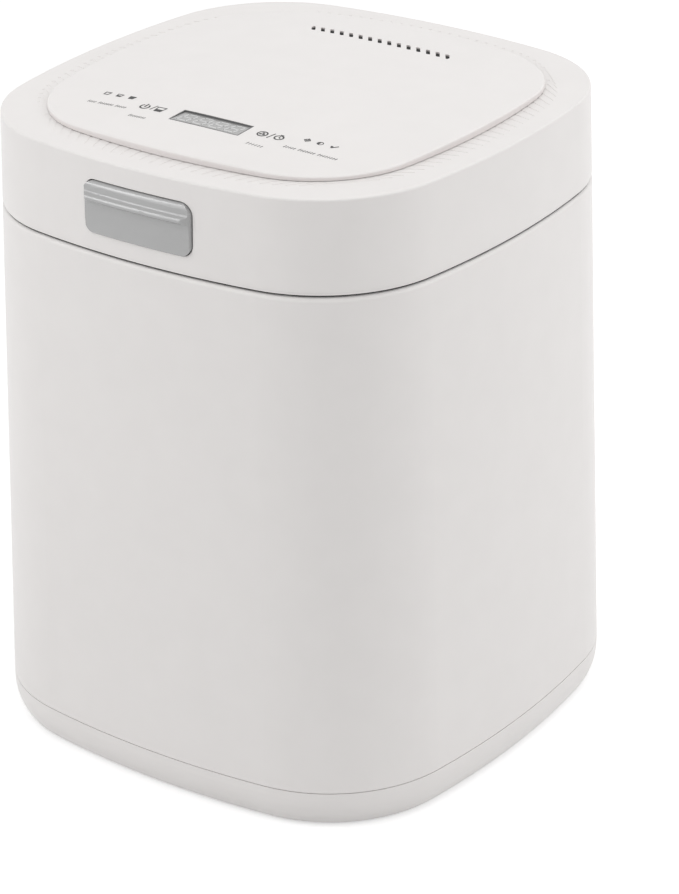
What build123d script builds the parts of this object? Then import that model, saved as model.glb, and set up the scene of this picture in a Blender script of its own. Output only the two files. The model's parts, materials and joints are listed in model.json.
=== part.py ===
"""Countertop electric food waste composter: a drafted rounded-square casing with a hinged lid.

Frame: millimetres, +Z up, the latch faces -Y, the origin is on the floor under the casing's middle.
"""

import os
from math import acos, cos, degrees, pi, radians, sin, sqrt, tan

from build123d import *

# ---------------------------------------------------------------- casing: driving dimensions
total_height = 315.0
half_width = 126.5  # half the casing's side at its widest, just above the base seam
wall = 2.5
corner_share = 0.5375  # corner radius of that widest section, as a share of half the side
side_share = 3.518  # bow of each side of that section, as a share of half the side
shell_draft = 6.25  # how far each side leans in over the shell's height
lid_draft = 1.2  # and over the lid's height
lid_height = 44.25
rim_drop = 7.45  # from the panel's crown to the flat ring around it
ring_width = 18.65  # flat ring around the raised panel
foot_drop = 1.2  # the feet stand this far below the base
base_seam = 19.3  # height of the seam between base and shell
base_straight = 4.0  # upright stretch of the base below the seam
base_curve = 23.5  # radius that turns the base inwards
base_edge = 1.0  # rounding of the base's lower edge
seam_gap = 0.4
lid_gap = 1.0
rim_round = 2.2  # soft top edge of the shell
lid_edge = 1.0  # rounding of the lid's upper edge
lid_bead = 1.5  # height of the stepped band at the lid's lower edge
lid_bead_inset = 0.5

corner_radius = corner_share * half_width
side_radius = side_share * half_width
lid_seam_half = half_width - shell_draft
rim_half = lid_seam_half - lid_draft
rim_height = total_height - rim_drop
lid_seam = rim_height - lid_height
shell_bottom = base_seam + seam_gap / 2
pan_top = base_seam - seam_gap / 2
pan_floor = foot_drop + wall
shell_top = lid_seam - lid_gap / 2
lid_bottom = lid_seam + lid_gap / 2
lid_flange_under = rim_height - wall

# ---------------------------------------------------------------- clearances
fit_gap = 0.3  # between neighbouring mouldings and between bodies that move
running = 0.05  # radial clearance of a shaft in its bearing
contact_gap = 0.1  # between parts that stand on or behind one another
cut_past = 1.0  # how far a cut runs past the face that it opens

# ---------------------------------------------------------------- top panel and display
panel_half = rim_half - ring_width
panel_lift = 0.3  # gap between the ring and the panel's overhang
panel_under = rim_height + panel_lift
dome_radius = 1250.0
panel_wall = 2.0
panel_edge = 1.2
shoulder_inset = 1.8  # the overhang's depth
skirt_inset = 8.6
skirt_wall = 2.2
skirt_depth = 4.5
display_width = 39.0
display_depth = 12.4
display_x = 0.6
display_set_back = 34.6
display_y = display_set_back - panel_half
lens_sink = 0.5  # lens face below the panel at the window's middle
lens_thickness = 1.8
vent_count = 15
vent_pitch = 5.54
vent_width = 1.9
vent_reach = 6.0  # front to back
vent_slant = 35.0  # degrees from front-to-back, leaning left
vent_x = -1.5
vent_set_in = 32.4
vent_y = panel_half - vent_set_in
groove_count = 120
groove_length = 9.0
groove_width = 1.4
groove_depth = 0.15
groove_overlap = 1.5  # the grooves start this far under the panel's overhang

# ---------------------------------------------------------------- body rim, deck and chamber
rim_width = 6.0
rim_depth = 6.0
deck_width = 23.25  # from the casing's side to the chamber's mouth
mouth_gap = 1.0
liner_wall = 1.5
liner_flange = 8.5
liner_floor_thickness = 2.0
heater_thickness = 5.0
heater_gap = 3.5  # from the gearbox's cover to the heater plate
bucket_gap = 12.0  # from the liner to the bucket's foot
bucket_taper = 4.0  # how much the bucket widens, each side
bucket_drop = 7.3  # the bucket's collar below the deck
bucket_wall = 2.0
bucket_rim = 4.0
collar_height = 2.0
bucket_floor_rise = 14.7
bucket_headroom = 9.5  # from the bucket's grips to the inner lid

deck_top = shell_top - rim_depth
deck_under = deck_top - wall
mouth_radius = lid_seam_half - deck_width
liner_radius = mouth_radius - mouth_gap
bucket_low_radius = liner_radius - bucket_gap
bucket_high_radius = bucket_low_radius + bucket_taper

# ---------------------------------------------------------------- drive train
gear_teeth = 54
pinion_teeth = 18
stage_module = 1.25  # output stage
motor_module = 1.0  # motor stage
pressure_angle = radians(20)
addendum = 0.9
dedendum = 1.2
backlash = 0.25
output_shaft_radius = 6.0
idler_pin_radius = 3.0
motor_shaft_radius = 2.5
motor_radius = 25.0
motor_length = 38.5
motor_clear = 23.5  # from the floor to the motor
gearbox_wall = 2.5
gearbox_height = 28.0
stage_rise = 5.5  # motor stage's gears above the gearbox's underside
stage_low_width = 5.0
stage_step = 2.5  # from the motor stage's wheel up to the output gear
stage_high_width = 10.0
gear_side_gap = 1.5
dog_across_flats = 16.0
dog_height = 7.2
rotor_shaft_radius = 5.0

gearbox_floor = motor_clear + motor_length
gearbox_top = gearbox_floor + gearbox_height
stage_low = gearbox_floor + stage_rise
stage_high = stage_low + stage_low_width + stage_step
liner_floor = gearbox_top + gearbox_wall + heater_gap + heater_thickness
liner_inside = liner_floor + liner_floor_thickness
bucket_bottom = liner_inside + fit_gap
bucket_top = deck_under - bucket_drop
bucket_height = bucket_top - bucket_bottom

# ---------------------------------------------------------------- feet, screws and towers
foot_radius = 9.0
foot_thickness = 3.2
foot_round = 0.6
foot_set_in = 13.5
foot_reach = half_width - foot_set_in  # centre to foot, along the diagonal
base_screw_past = 6.5
base_screw_reach = half_width + base_screw_past
base_screw_radius = 1.75
tower_radius = 6.0
frame_screw_radius = 1.5
screw_head_radius = 3.0
screw_head_height = 2.0

# ---------------------------------------------------------------- latch
latch_width = 59.6
latch_rise = 9.4
latch_drop = 10.3
latch_low = lid_seam + latch_rise
latch_high = rim_height - latch_drop
latch_corner = 5.8
latch_gap = 0.5
latch_proud = 1.4  # flat of the key in front of the lid's wall
ridge_proud = 4.2
ridge_drop = 7.35
ridge_height = latch_high - ridge_drop  # height of the finger ridge's crest
ridge_radius = 1.5
latch_thickness = 4.0
latch_pin_radius = 1.25
latch_pin_drop = 3.7
latch_pin_height = latch_high - latch_pin_drop
latch_pin_depth = 5.4  # pin centre behind the lid's wall face
hook_width = 12.0
hook_thickness = 1.2
hook_drop = 12.7
hook_low = lid_seam - hook_drop
nose_height = 2.0
nose_reach = 2.8
catch_overlap = 2.0
catch_thickness = 1.2

# ---------------------------------------------------------------- lid hinge
hinge_set_in = 1.25  # the hinge's axis inside the casing's side
barrel_radius = 4.4
hinge_pin_radius = 2.0
hinge_half_length = 44.6
barrel_gap = 0.4
centre_barrel = 12.0
lid_barrel_end = 28.0
hinge_clear = 0.9
hinge_y = lid_seam_half - hinge_set_in

# ---------------------------------------------------------------- power inlet
inlet_rise = 25.7
inlet_height = base_seam + inlet_rise
inlet_width = 27.4
inlet_tall = 20.0
inlet_flange = 2.5
inlet_flange_thickness = 2.0
inlet_sink = 3.3  # front of the inlet's plate inside the casing's side
socket_width = 24.6
socket_tall = 16.6
socket_depth = 17.0
socket_round = 3.0
socket_floor = 4.0
contact_width = 2.0
contact_height = 4.0


def casing_half(height):
    """Half the shell's side at a height: a straight draft between its two seams."""
    share = (height - base_seam) / (lid_seam - base_seam)
    return half_width + (lid_seam_half - half_width) * share


def lid_half(height):
    """Half the lid's side at a height."""
    share = (height - lid_seam) / (rim_height - lid_seam)
    return lid_seam_half + (rim_half - lid_seam_half) * share


def dome_height(x, y):
    """Height of the panel's domed face."""
    return total_height - dome_radius + sqrt(dome_radius**2 - x**2 - y**2)


# ---------------------------------------------------------------- shapes used many times
def section_arcs(half, inset):
    """Side bow, its centre, the corner's centre and radii of a section, after the inset."""
    scale = half / half_width
    bow = half - side_radius * scale
    turn = (side_radius - corner_radius) * scale
    corner = (bow + sqrt(2 * turn**2 - bow**2)) / 2
    reach = corner_radius * scale - inset
    tangent_x = corner + reach * (corner - bow) / turn
    tangent_y = corner + reach * corner / turn
    return corner, reach, tangent_x, tangent_y


def bulged_square(half, inset=0.0, mode=Mode.ADD):
    """The casing's section: a rounded square with bowed sides."""
    corner, reach, near_x, near_y = section_arcs(half, inset)
    diagonal = corner + reach / sqrt(2)
    with BuildLine() as outline:
        for turn in range(4):
            side = [(near_x, -near_y), (half - inset, 0), (near_x, near_y)]
            bend = [(near_x, near_y), (diagonal, diagonal), (near_y, near_x)]
            for arc in (side, bend):
                ThreePointArc(*[Vector(*spot).rotate(Axis.Z, 90 * turn) for spot in arc])
    make_face(outline.edges(), mode=mode)


def drafted(levels, inset=0.0, mode=Mode.ADD):
    """A solid through sections given as (height, half side)."""
    sections = []
    for height, half in levels:
        with BuildSketch(Plane.XY.offset(height)) as section:
            bulged_square(half, inset)
        sections.append(section.sketch)
    loft(sections, ruled=True, mode=mode)


def square_ring(outer, inner, low, high, mode=Mode.ADD):
    """An upright band between two sections, each given as (half side, inset)."""
    with BuildSketch(Plane.XY.offset(low)) as section:
        bulged_square(*outer)
        bulged_square(*inner, mode=Mode.SUBTRACT)
    extrude(section.sketch, amount=high - low, mode=mode)


def tube(outer, inner, low, high, at=((0, 0),), mode=Mode.ADD):
    """Upright discs or tubes between two heights."""
    with BuildSketch(Plane.XY.offset(low)) as section:
        with Locations(*at):
            Circle(outer)
            if inner:
                Circle(inner, mode=Mode.SUBTRACT)
    extrude(section.sketch, amount=high - low, mode=mode)


def block(low, high, mode=Mode.ADD):
    """A box between two opposite corners."""
    size = [b - a for a, b in zip(low, high)]
    middle = tuple((a + b) / 2 for a, b in zip(low, high))
    with Locations(middle):
        Box(*size, mode=mode)


def rod(radius, start, end, y, z, mode=Mode.ADD):
    """A round bar along X."""
    with BuildSketch(Plane.YZ.offset(start)) as section:
        with Locations((y, z)):
            Circle(radius)
    extrude(section.sketch, amount=end - start, mode=mode)


def screw(at, head_low, head_high, shank_low, shank_high, shank_radius=frame_screw_radius):
    """Upright screws: a round head and a plain shank."""
    tube(screw_head_radius, 0, head_low, head_high, at)
    tube(shank_radius, 0, shank_low, shank_high, at)


def wall_holes(at, radius, back, depth, mode=Mode.SUBTRACT):
    """Round holes or bars along Y at places given as (x, z), from their rear end forwards."""
    with BuildSketch(Plane.XZ.offset(-back)) as section:
        with Locations(*at):
            Circle(radius)
    extrude(section.sketch, amount=depth, mode=mode)


def wall_screws(at, head_face, end):
    """Screws along Y: a round head in front of a plate and a plain shank."""
    wall_holes(at, screw_head_radius, head_face, screw_head_height, Mode.ADD)
    wall_holes(at, frame_screw_radius, end, end - head_face, Mode.ADD)


def inlet_box(margin, front, back, mode=Mode.ADD):
    """A box around the power inlet's body, wider by a margin, from front to back."""
    side = inlet_width / 2 + margin
    rise = inlet_tall / 2 + margin
    block((-side, front, inlet_height - rise), (side, back, inlet_height + rise), mode)


def gear_outline(teeth, module, at=(0, 0), turn=0.0):
    """Spur gear with involute flanks, its first tooth turned by an angle."""
    pitch_radius = teeth * module / 2
    base_radius = pitch_radius * cos(pressure_angle)
    tip_radius = pitch_radius + addendum * module
    root_radius = pitch_radius - dedendum * module
    low_radius = max(base_radius, root_radius + 0.05 * module)
    half_tooth = pi / (2 * teeth) - backlash / (4 * pitch_radius)

    def flank_angle(radius):
        slope = acos(base_radius / radius)
        return half_tooth + tan(pressure_angle) - pressure_angle - tan(slope) + slope

    def spot(radius, angle):
        return (at[0] + radius * cos(angle), at[1] + radius * sin(angle))

    middle_radius = (low_radius + tip_radius) / 2
    radii = (low_radius, middle_radius, tip_radius)
    pitch = 2 * pi / teeth
    with BuildLine() as outline:
        for tooth in range(teeth):
            axis = radians(turn) + tooth * pitch
            rise = [spot(r, axis - flank_angle(r)) for r in radii]
            fall = [spot(r, axis + flank_angle(r)) for r in reversed(radii)]
            foot = flank_angle(low_radius)
            valley = [spot(root_radius, axis + foot), spot(root_radius, axis + pitch / 2),
                      spot(root_radius, axis + pitch - foot)]
            next_rise = spot(low_radius, axis + pitch - foot)
            ThreePointArc(*rise)
            ThreePointArc(rise[-1], spot(tip_radius, axis), fall[0])
            ThreePointArc(*fall)
            Line(fall[-1], valley[0])
            ThreePointArc(*valley)
            Line(valley[-1], next_rise)
    make_face(outline.edges())


def gear(teeth, module, low, high, bore, at=(0, 0), turn=0.0):
    """A spur gear between two heights, with a round bore."""
    with BuildSketch(Plane.XY.offset(low)) as section:
        gear_outline(teeth, module, at, turn)
        with Locations(at):
            Circle(bore, mode=Mode.SUBTRACT)
    extrude(section.sketch, amount=high - low)


def corners(reach):
    """The four points at a distance from the middle along the diagonals."""
    side = reach / sqrt(2)
    return [(x, y) for x in (-side, side) for y in (-side, side)]


def finish(piece, name):
    """Names a finished piece and writes its file."""
    piece.part.label = name
    export_step(piece.part, f"parts/{name}.step")


os.makedirs("parts", exist_ok=True)

# ---------------------------------------------------------------- drive axes
centre_distance = (gear_teeth + pinion_teeth) * stage_module / 2
motor_distance = (gear_teeth + pinion_teeth) * motor_module / 2
idler = (centre_distance, 0)
motor = (centre_distance, -motor_distance)
half_pitch = 180 / pinion_teeth  # turns a pinion so that a gap faces its gear
output_gear_clear = gear_teeth * stage_module / 2 + stage_module + gear_side_gap
idler_gear_clear = gear_teeth * motor_module / 2 + motor_module + gear_side_gap
pinion_clear = pinion_teeth * motor_module / 2 + motor_module + gear_side_gap
tower_margin = 1.0
tower_gap = tower_radius + tower_margin
motor_tower_gap = 2.0  # between the motor and the tower beside it
left_tower = 0.72 * output_gear_clear + tower_gap
towers = [
    (-left_tower, left_tower),
    (-left_tower, -left_tower),
    (idler[0] + 0.8 * idler_gear_clear + tower_gap, 0.7 * idler_gear_clear + tower_gap),
    (motor[0] + motor_radius + tower_gap + motor_tower_gap, motor[1] - tower_gap),
]

# ---------------------------------------------------------------- base pan
board_width = 56.0
board_length = 90.0
board_thickness = 1.6
board_height = 10.0
board_inset = 18.5  # from the casing's side to the power board
board_edge = 5.0  # from the board's edges to its posts
board_post_radius = 3.5
board_x = -half_width + board_inset
board_y = -0.36 * board_length
board_posts = [
    (board_x + x, board_y + y)
    for x in (board_edge, board_width - board_edge)
    for y in (board_edge, board_length - board_edge)
]
tongue_height = 5.5
tongue_wall = 1.6
foot_recess = 2.0
boss_radius = 5.5
boss_rise = 6.7
boss_top = base_seam + boss_rise
boss_step = 1.0  # counterbore of the base screws above the pan's floor
tower_screw_depth = 14.0
cooling_length = 44.0
cooling_width = 3.0
cooling_count = 7
cooling_pitch = 2.4 * cooling_width
tongue_half = casing_half(shell_bottom + tongue_height)
curve_bottom = pan_top - base_straight - base_curve  # where the base's curve would end

with BuildPart() as base_pan:
    with BuildSketch(Plane.XY.offset(curve_bottom)):
        bulged_square(half_width)
    extrude(amount=pan_top - curve_bottom)
    fillet(base_pan.faces().sort_by(Axis.Z)[0].edges(), base_curve)
    block((-half_width, -half_width, curve_bottom), (half_width, half_width, foot_drop),
          Mode.SUBTRACT)
    fillet(base_pan.faces().sort_by(Axis.Z)[0].edges(), base_edge)
    with BuildSketch(Plane.XY.offset(pan_floor)):
        bulged_square(tongue_half, wall + fit_gap + tongue_wall)
    extrude(amount=pan_top - pan_floor, mode=Mode.SUBTRACT)
    square_ring((tongue_half, wall + fit_gap), (tongue_half, wall + fit_gap + tongue_wall),
                pan_top - wall, shell_bottom + tongue_height)
    tube(foot_radius + wall, 0, foot_drop + foot_recess, pan_floor + foot_recess,
         corners(foot_reach))
    tube(boss_radius, 0, pan_floor, boss_top, corners(base_screw_reach))
    tube(tower_radius, 0, pan_floor, gearbox_floor, towers)
    tube(board_post_radius, 0, pan_floor, board_height, board_posts)
    tube(foot_radius + fit_gap, 0, foot_drop, foot_drop + foot_recess, corners(foot_reach),
         Mode.SUBTRACT)
    tube(screw_head_radius + fit_gap, 0, foot_drop, pan_floor + boss_step,
         corners(base_screw_reach), Mode.SUBTRACT)
    tube(base_screw_radius + fit_gap, 0, pan_floor, boss_top, corners(base_screw_reach),
         Mode.SUBTRACT)
    tube(frame_screw_radius, 0, gearbox_floor - tower_screw_depth, gearbox_floor, towers,
         Mode.SUBTRACT)
    tube(frame_screw_radius, 0, pan_floor, board_height, board_posts, Mode.SUBTRACT)
    with BuildSketch(Plane.XY.offset(foot_drop)):
        with Locations(motor):
            with GridLocations(0, cooling_pitch, 1, cooling_count):
                SlotOverall(cooling_length, cooling_width)
    extrude(amount=wall, mode=Mode.SUBTRACT)
finish(base_pan, "base_pan")

with BuildPart() as rubber_feet:
    tube(foot_radius, 0, 0, foot_thickness, corners(foot_reach))
    fillet(rubber_feet.edges().group_by(Axis.Z)[0], foot_round)
finish(rubber_feet, "rubber_feet")

base_screw_bite = 12.0

with BuildPart() as base_screws:
    screw(corners(base_screw_reach), pan_floor + boss_step - screw_head_height,
          pan_floor + boss_step, pan_floor + boss_step, boss_top + base_screw_bite,
          base_screw_radius)
finish(base_screws, "base_screws")

# ---------------------------------------------------------------- body shell and deck
rib_thickness = 3.0
shell_boss_height = 20.0
screw_end_gap = 1.0  # blind hole past the end of its screw
inlet_pad = 3.0  # plate of the inlet behind the wall
inlet_pad_margin = 5.0
inlet_face = casing_half(inlet_height) - inlet_sink
hinge_pocket_depth = 7.5  # below the deck
hinge_pocket_low = deck_top - hinge_pocket_depth
hinge_half = hinge_half_length + fit_gap
latch_middle = (latch_low + latch_high) / 2
latch_face = lid_half(latch_middle)  # the lid's wall face behind the key, on the middle plane
pin_y = -(latch_face - latch_pin_depth)
hook_front = pin_y
hook_back = hook_front + hook_thickness
hook_side_gap = 2.5
hook_front_gap = 3.4
hook_back_gap = 1.6
hook_slot_half = hook_width / 2 + hook_side_gap
hook_slot_front = hook_front - hook_front_gap
hook_slot_back = hook_back + nose_reach + hook_back_gap
catch_depth = 6.0
catch_half = 21.0
catch_edge = 4.0  # from the catch's ends to its screws
catch_front = hook_back + nose_reach - catch_overlap
catch_back = catch_front + catch_depth
catch_middle = catch_front + catch_depth / 2
catch_screws = [(-catch_half + catch_edge, catch_middle), (catch_half - catch_edge, catch_middle)]
catch_bottom = hook_low + nose_height + fit_gap
liner_screw_reach = liner_radius + liner_wall + 0.535 * liner_flange
liner_screws = [
    (liner_screw_reach * cos(radians(a)), liner_screw_reach * sin(radians(a)))
    for a in range(30, 390, 60)
]
deck_screw_depth = 1.8
hinge_screw_bite = 1.6
hinge_screw_drop = 8.0  # below the hinge's pocket
hinge_screw_reach = 30.0
hinge_screw_height = hinge_pocket_low - hinge_screw_drop
hinge_screw_spots = [(x, hinge_screw_height) for x in (-hinge_screw_reach, 0, hinge_screw_reach)]
hinge_screw_end = casing_half(hinge_pocket_low) - wall + hinge_screw_bite
hinge_plate = 3.0
hinge_wall_bow = 3.4  # the wall's bow over the length of the hinge
hinge_notch_gap = 0.7
hinge_notch_top = lid_seam + barrel_radius + hinge_clear + hinge_notch_gap
lid_screw_rise = 8.0  # above the notch
lid_screw_reach = 34.0
lid_screw_height = hinge_notch_top + lid_screw_rise
lid_hinge_screw_spots = [(x, lid_screw_height) for x in (-lid_screw_reach, 0, lid_screw_reach)]
lid_plate_front = lid_half(hinge_notch_top) - wall - hinge_wall_bow - hinge_plate
lid_screw_end = lid_half(hinge_notch_top) - wall + hinge_screw_bite

# the hollow inside the shell's wall
with BuildPart() as shell_inside:
    drafted([(shell_bottom, half_width), (deck_top, casing_half(deck_top))], inset=wall)

with BuildPart() as body_shell:
    drafted([(shell_bottom, half_width), (shell_top, casing_half(shell_top))])
    fillet(body_shell.faces().sort_by(Axis.Z)[-1].edges(), rim_round)
    add(shell_inside.part, mode=Mode.SUBTRACT)
    with BuildSketch(Plane.XY.offset(deck_top)):
        bulged_square(casing_half(shell_top), rim_width)
    extrude(amount=rim_depth, mode=Mode.SUBTRACT)
    # corner bosses for the base screws, each tied to the wall by a rib
    corner_wall = section_arcs(casing_half(boss_top), wall)
    rib_end = sqrt(2) * corner_wall[0] + corner_wall[1] + wall / 2
    shell_boss_low = boss_top + contact_gap
    tube(boss_radius, 0, shell_boss_low, shell_boss_low + shell_boss_height,
         corners(base_screw_reach))
    with Locations((0, 0, shell_boss_low + shell_boss_height / 2)):
        with PolarLocations((base_screw_reach + rib_end) / 2, 4, start_angle=45):
            Box(rib_end - base_screw_reach, rib_thickness, shell_boss_height)
    tube(base_screw_radius, 0, boss_top, boss_top + base_screw_bite + screw_end_gap,
         corners(base_screw_reach), Mode.SUBTRACT)
    inlet_box(inlet_flange + fit_gap, inlet_face - inlet_pad, half_width, Mode.SUBTRACT)
    # pocket of the hinge in the rear rim
    block((-hinge_half, hinge_y - barrel_radius - hinge_clear, hinge_pocket_low),
          (hinge_half, half_width, shell_top), Mode.SUBTRACT)
    # slot that the latch hook comes down through
    block((-hook_slot_half, hook_slot_front, deck_under),
          (hook_slot_half, hook_slot_back, shell_top), Mode.SUBTRACT)
    wall_holes(hinge_screw_spots, frame_screw_radius, hinge_screw_end, 2 * wall)
finish(body_shell, "body_shell")

with BuildPart() as deck_ring:
    with BuildSketch(Plane.XY.offset(deck_under)):
        bulged_square(casing_half(deck_top), wall + fit_gap)
        Circle(mouth_radius, mode=Mode.SUBTRACT)
    extrude(amount=wall)
    block((-hinge_half, hinge_y - barrel_radius - hinge_clear, deck_under),
          (hinge_half, half_width, deck_top), Mode.SUBTRACT)
    block((-hook_slot_half, hook_slot_front, deck_under),
          (hook_slot_half, hook_slot_back, deck_top), Mode.SUBTRACT)
    tube(frame_screw_radius, 0, deck_under, deck_under + deck_screw_depth,
         liner_screws + catch_screws, Mode.SUBTRACT)
finish(deck_ring, "deck_ring")

# ---------------------------------------------------------------- power inlet
inlet_back = inlet_face - socket_depth - socket_floor
contact_half = 4.2
contact_low = inlet_height - contact_half
contact_high = inlet_height + contact_half
contact_side = 7.0
contact_spots = [(0, contact_high), (-contact_side, contact_low), (contact_side, contact_low)]
contact_tail = 5.0
contact_recess = 2.0
inlet_round = 1.2

with BuildPart() as power_inlet:
    inlet_box(inlet_pad_margin, inlet_face - inlet_pad, inlet_face)
    inlet_box(inlet_flange, inlet_face, inlet_face + inlet_flange_thickness)
    inlet_box(0, inlet_back, inlet_face)
    fillet(power_inlet.edges().filter_by(Axis.Y), inlet_round)
    with BuildSketch(Plane.XZ.offset(-inlet_face - inlet_flange_thickness)):
        with Locations((0, inlet_height)):
            RectangleRounded(socket_width, socket_tall, socket_round)
    extrude(amount=socket_depth + inlet_flange_thickness, mode=Mode.SUBTRACT)
    with BuildSketch(Plane.XZ.offset(-inlet_back)):
        with Locations(*contact_spots):
            Rectangle(contact_width, contact_height)
    extrude(amount=-(socket_depth + socket_floor), mode=Mode.SUBTRACT)
finish(power_inlet, "power_inlet")

with BuildPart() as inlet_pins:
    with BuildSketch(Plane.XZ.offset(contact_tail - inlet_back)):
        with Locations(*contact_spots):
            Rectangle(contact_width, contact_height)
    extrude(amount=contact_recess - contact_tail - socket_floor - socket_depth)
finish(inlet_pins, "inlet_pins")

# ---------------------------------------------------------------- chamber: liner, heater, seal
liner_outer = liner_radius + liner_wall
seal_radius = 12.0
seal_lip = 2.0
seal_lip_thickness = 1.2
heater_radius = 0.625 * liner_radius
heater_bore_past = 5.0
heater_bore = seal_radius + heater_bore_past
heater_chamfer = 0.8
cutout_radius = 6.5
cutout_height = 6.0
cutout_lead_reach = 9.0
cutout_lead_half = 1.5
cutout_lead_thickness = 0.8
cutout_set_out = 6.0
cutout_spot = (-output_gear_clear - cutout_radius - cutout_set_out, 0)

with BuildPart() as chamber_liner:
    tube(liner_outer, 0, liner_floor, deck_under)
    tube(liner_outer + liner_flange, 0, deck_under - liner_wall, deck_under)
    fillet(chamber_liner.edges().group_by(Axis.Z)[0], liner_wall + 1.0)
    tube(liner_radius, 0, liner_inside, deck_under, mode=Mode.SUBTRACT)
    tube(seal_radius, 0, liner_floor, liner_inside, mode=Mode.SUBTRACT)
    tube(frame_screw_radius + fit_gap, 0, deck_under - liner_wall, deck_under, liner_screws,
         Mode.SUBTRACT)
finish(chamber_liner, "chamber_liner")

with BuildPart() as deck_screws:
    liner_head = deck_under - liner_wall
    screw(liner_screws, liner_head - screw_head_height, liner_head, liner_head,
          deck_under + deck_screw_depth)
    screw(catch_screws, catch_bottom - screw_head_height, catch_bottom, catch_bottom,
          deck_under + deck_screw_depth)
finish(deck_screws, "deck_screws")

with BuildPart() as shaft_seal:
    tube(seal_radius, output_shaft_radius + running, liner_floor, liner_inside)
    tube(seal_radius + seal_lip, output_shaft_radius + running, liner_floor - seal_lip_thickness,
         liner_floor)
finish(shaft_seal, "shaft_seal")

with BuildPart() as heater_plate:
    tube(heater_radius, heater_bore, liner_floor - heater_thickness, liner_floor)
    chamfer(heater_plate.edges().group_by(Axis.Z)[0], heater_chamfer)
finish(heater_plate, "heater_plate")

with BuildPart() as thermal_cutout:
    cutout_top = liner_floor - heater_thickness
    lead_low = cutout_top - cutout_height / 2
    tube(cutout_radius, 0, cutout_top - cutout_height, cutout_top, (cutout_spot,))
    block((cutout_spot[0] - cutout_lead_half, -cutout_lead_reach, lead_low),
          (cutout_spot[0] + cutout_lead_half, cutout_lead_reach,
           lead_low + cutout_lead_thickness))
finish(thermal_cutout, "thermal_cutout")

# ---------------------------------------------------------------- gearbox
cover_top = gearbox_top + gearbox_wall
bush_wall = 4.0
ear_height = 6.0
cover_post_radius = 4.0
cover_post_height = 12.0
cover_screw_bite = 8.0
tower_screw_bite = 12.0
shaft_clear = 5.0  # housing's hole around the motor shaft
wells = [(0, 0, output_gear_clear), (*idler, idler_gear_clear), (*motor, pinion_clear)]
motor_screw_reach = 16.0
motor_screw_bite = 5.5
motor_screw_head = 1.8
motor_screw_spots = [
    (motor[0] + motor_screw_reach * cos(radians(a)), motor[1] + motor_screw_reach * sin(radians(a)))
    for a in (40, 140)
]
post_past = 1.5
post_set_out = gearbox_wall + post_past
side_post = 14.0
cover_screw_spots = [
    (-output_gear_clear - post_set_out, side_post),
    (-output_gear_clear - post_set_out, -side_post),
    (idler[0] + idler_gear_clear + post_set_out, -0.5 * side_post),
    (centre_distance / 2, output_gear_clear + post_set_out / 2),
]


def gearbox_outline(margin):
    """Hull around the three gear axes."""
    with BuildLine() as circles:
        for x, y, radius in wells:
            CenterArc((x, y), radius + margin, 0, 360)
    make_hull(circles.edges())


with BuildPart() as gearbox_housing:
    with BuildSketch(Plane.XY.offset(gearbox_floor)):
        gearbox_outline(gearbox_wall)
    extrude(amount=gearbox_height)
    tube(cover_post_radius, 0, gearbox_top - cover_post_height, gearbox_top, cover_screw_spots)
    for x, y in towers:
        with BuildSketch(Plane.XY.offset(gearbox_floor)):
            with BuildLine():
                CenterArc((x, y), tower_radius, 0, 360)
                CenterArc((0.75 * x + 0.2 * centre_distance, 0.75 * y), tower_radius, 0, 360)
            make_hull()
        extrude(amount=ear_height)
    with BuildSketch(Plane.XY.offset(gearbox_floor + gearbox_wall)):
        gearbox_outline(0)
    extrude(amount=gearbox_height - gearbox_wall, mode=Mode.SUBTRACT)
    tube(output_shaft_radius + bush_wall, 0, gearbox_floor, gearbox_floor + gearbox_wall,
         mode=Mode.SUBTRACT)
    tube(idler_pin_radius, 0, gearbox_floor, gearbox_floor + gearbox_wall, (idler,), Mode.SUBTRACT)
    tube(motor_shaft_radius + shaft_clear, 0, gearbox_floor, gearbox_floor + gearbox_wall,
         (motor,), Mode.SUBTRACT)
    tube(frame_screw_radius + fit_gap, 0, gearbox_floor, gearbox_floor + gearbox_wall,
         motor_screw_spots, Mode.SUBTRACT)
    tube(frame_screw_radius + fit_gap, 0, gearbox_floor, gearbox_floor + ear_height, towers,
         Mode.SUBTRACT)
    tube(frame_screw_radius, 0, gearbox_top - cover_screw_bite - screw_end_gap, gearbox_top,
         cover_screw_spots, Mode.SUBTRACT)
finish(gearbox_housing, "gearbox_housing")

with BuildPart() as gearbox_cover:
    with BuildSketch(Plane.XY.offset(gearbox_top)):
        gearbox_outline(gearbox_wall)
        with Locations(*cover_screw_spots):
            Circle(cover_post_radius)
    extrude(amount=gearbox_wall)
    tube(output_shaft_radius + bush_wall, 0, gearbox_top, cover_top, mode=Mode.SUBTRACT)
    tube(idler_pin_radius, 0, gearbox_top, cover_top, (idler,), Mode.SUBTRACT)
    tube(frame_screw_radius + fit_gap, 0, gearbox_top, cover_top, cover_screw_spots, Mode.SUBTRACT)
finish(gearbox_cover, "gearbox_cover")

with BuildPart() as frame_screws:
    ear_top = gearbox_floor + ear_height
    screw(towers, ear_top, ear_top + screw_head_height, gearbox_floor - tower_screw_bite, ear_top)
    screw(cover_screw_spots, cover_top, cover_top + screw_head_height,
          gearbox_top - cover_screw_bite, cover_top)
    board_top = board_height + board_thickness
    screw(board_posts, board_top, board_top + screw_head_height, pan_floor + screw_end_gap,
          board_top)
finish(frame_screws, "frame_screws")

with BuildPart() as lower_bush:
    bush_outer = output_shaft_radius + bush_wall
    bush_flange = 2.5
    bush_rim = 2.0
    tube(bush_outer, output_shaft_radius + running, gearbox_floor, gearbox_floor + gearbox_wall)
    tube(bush_outer + bush_rim, output_shaft_radius + running, gearbox_floor + gearbox_wall,
         gearbox_floor + gearbox_wall + bush_flange)
finish(lower_bush, "lower_bush")

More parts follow.
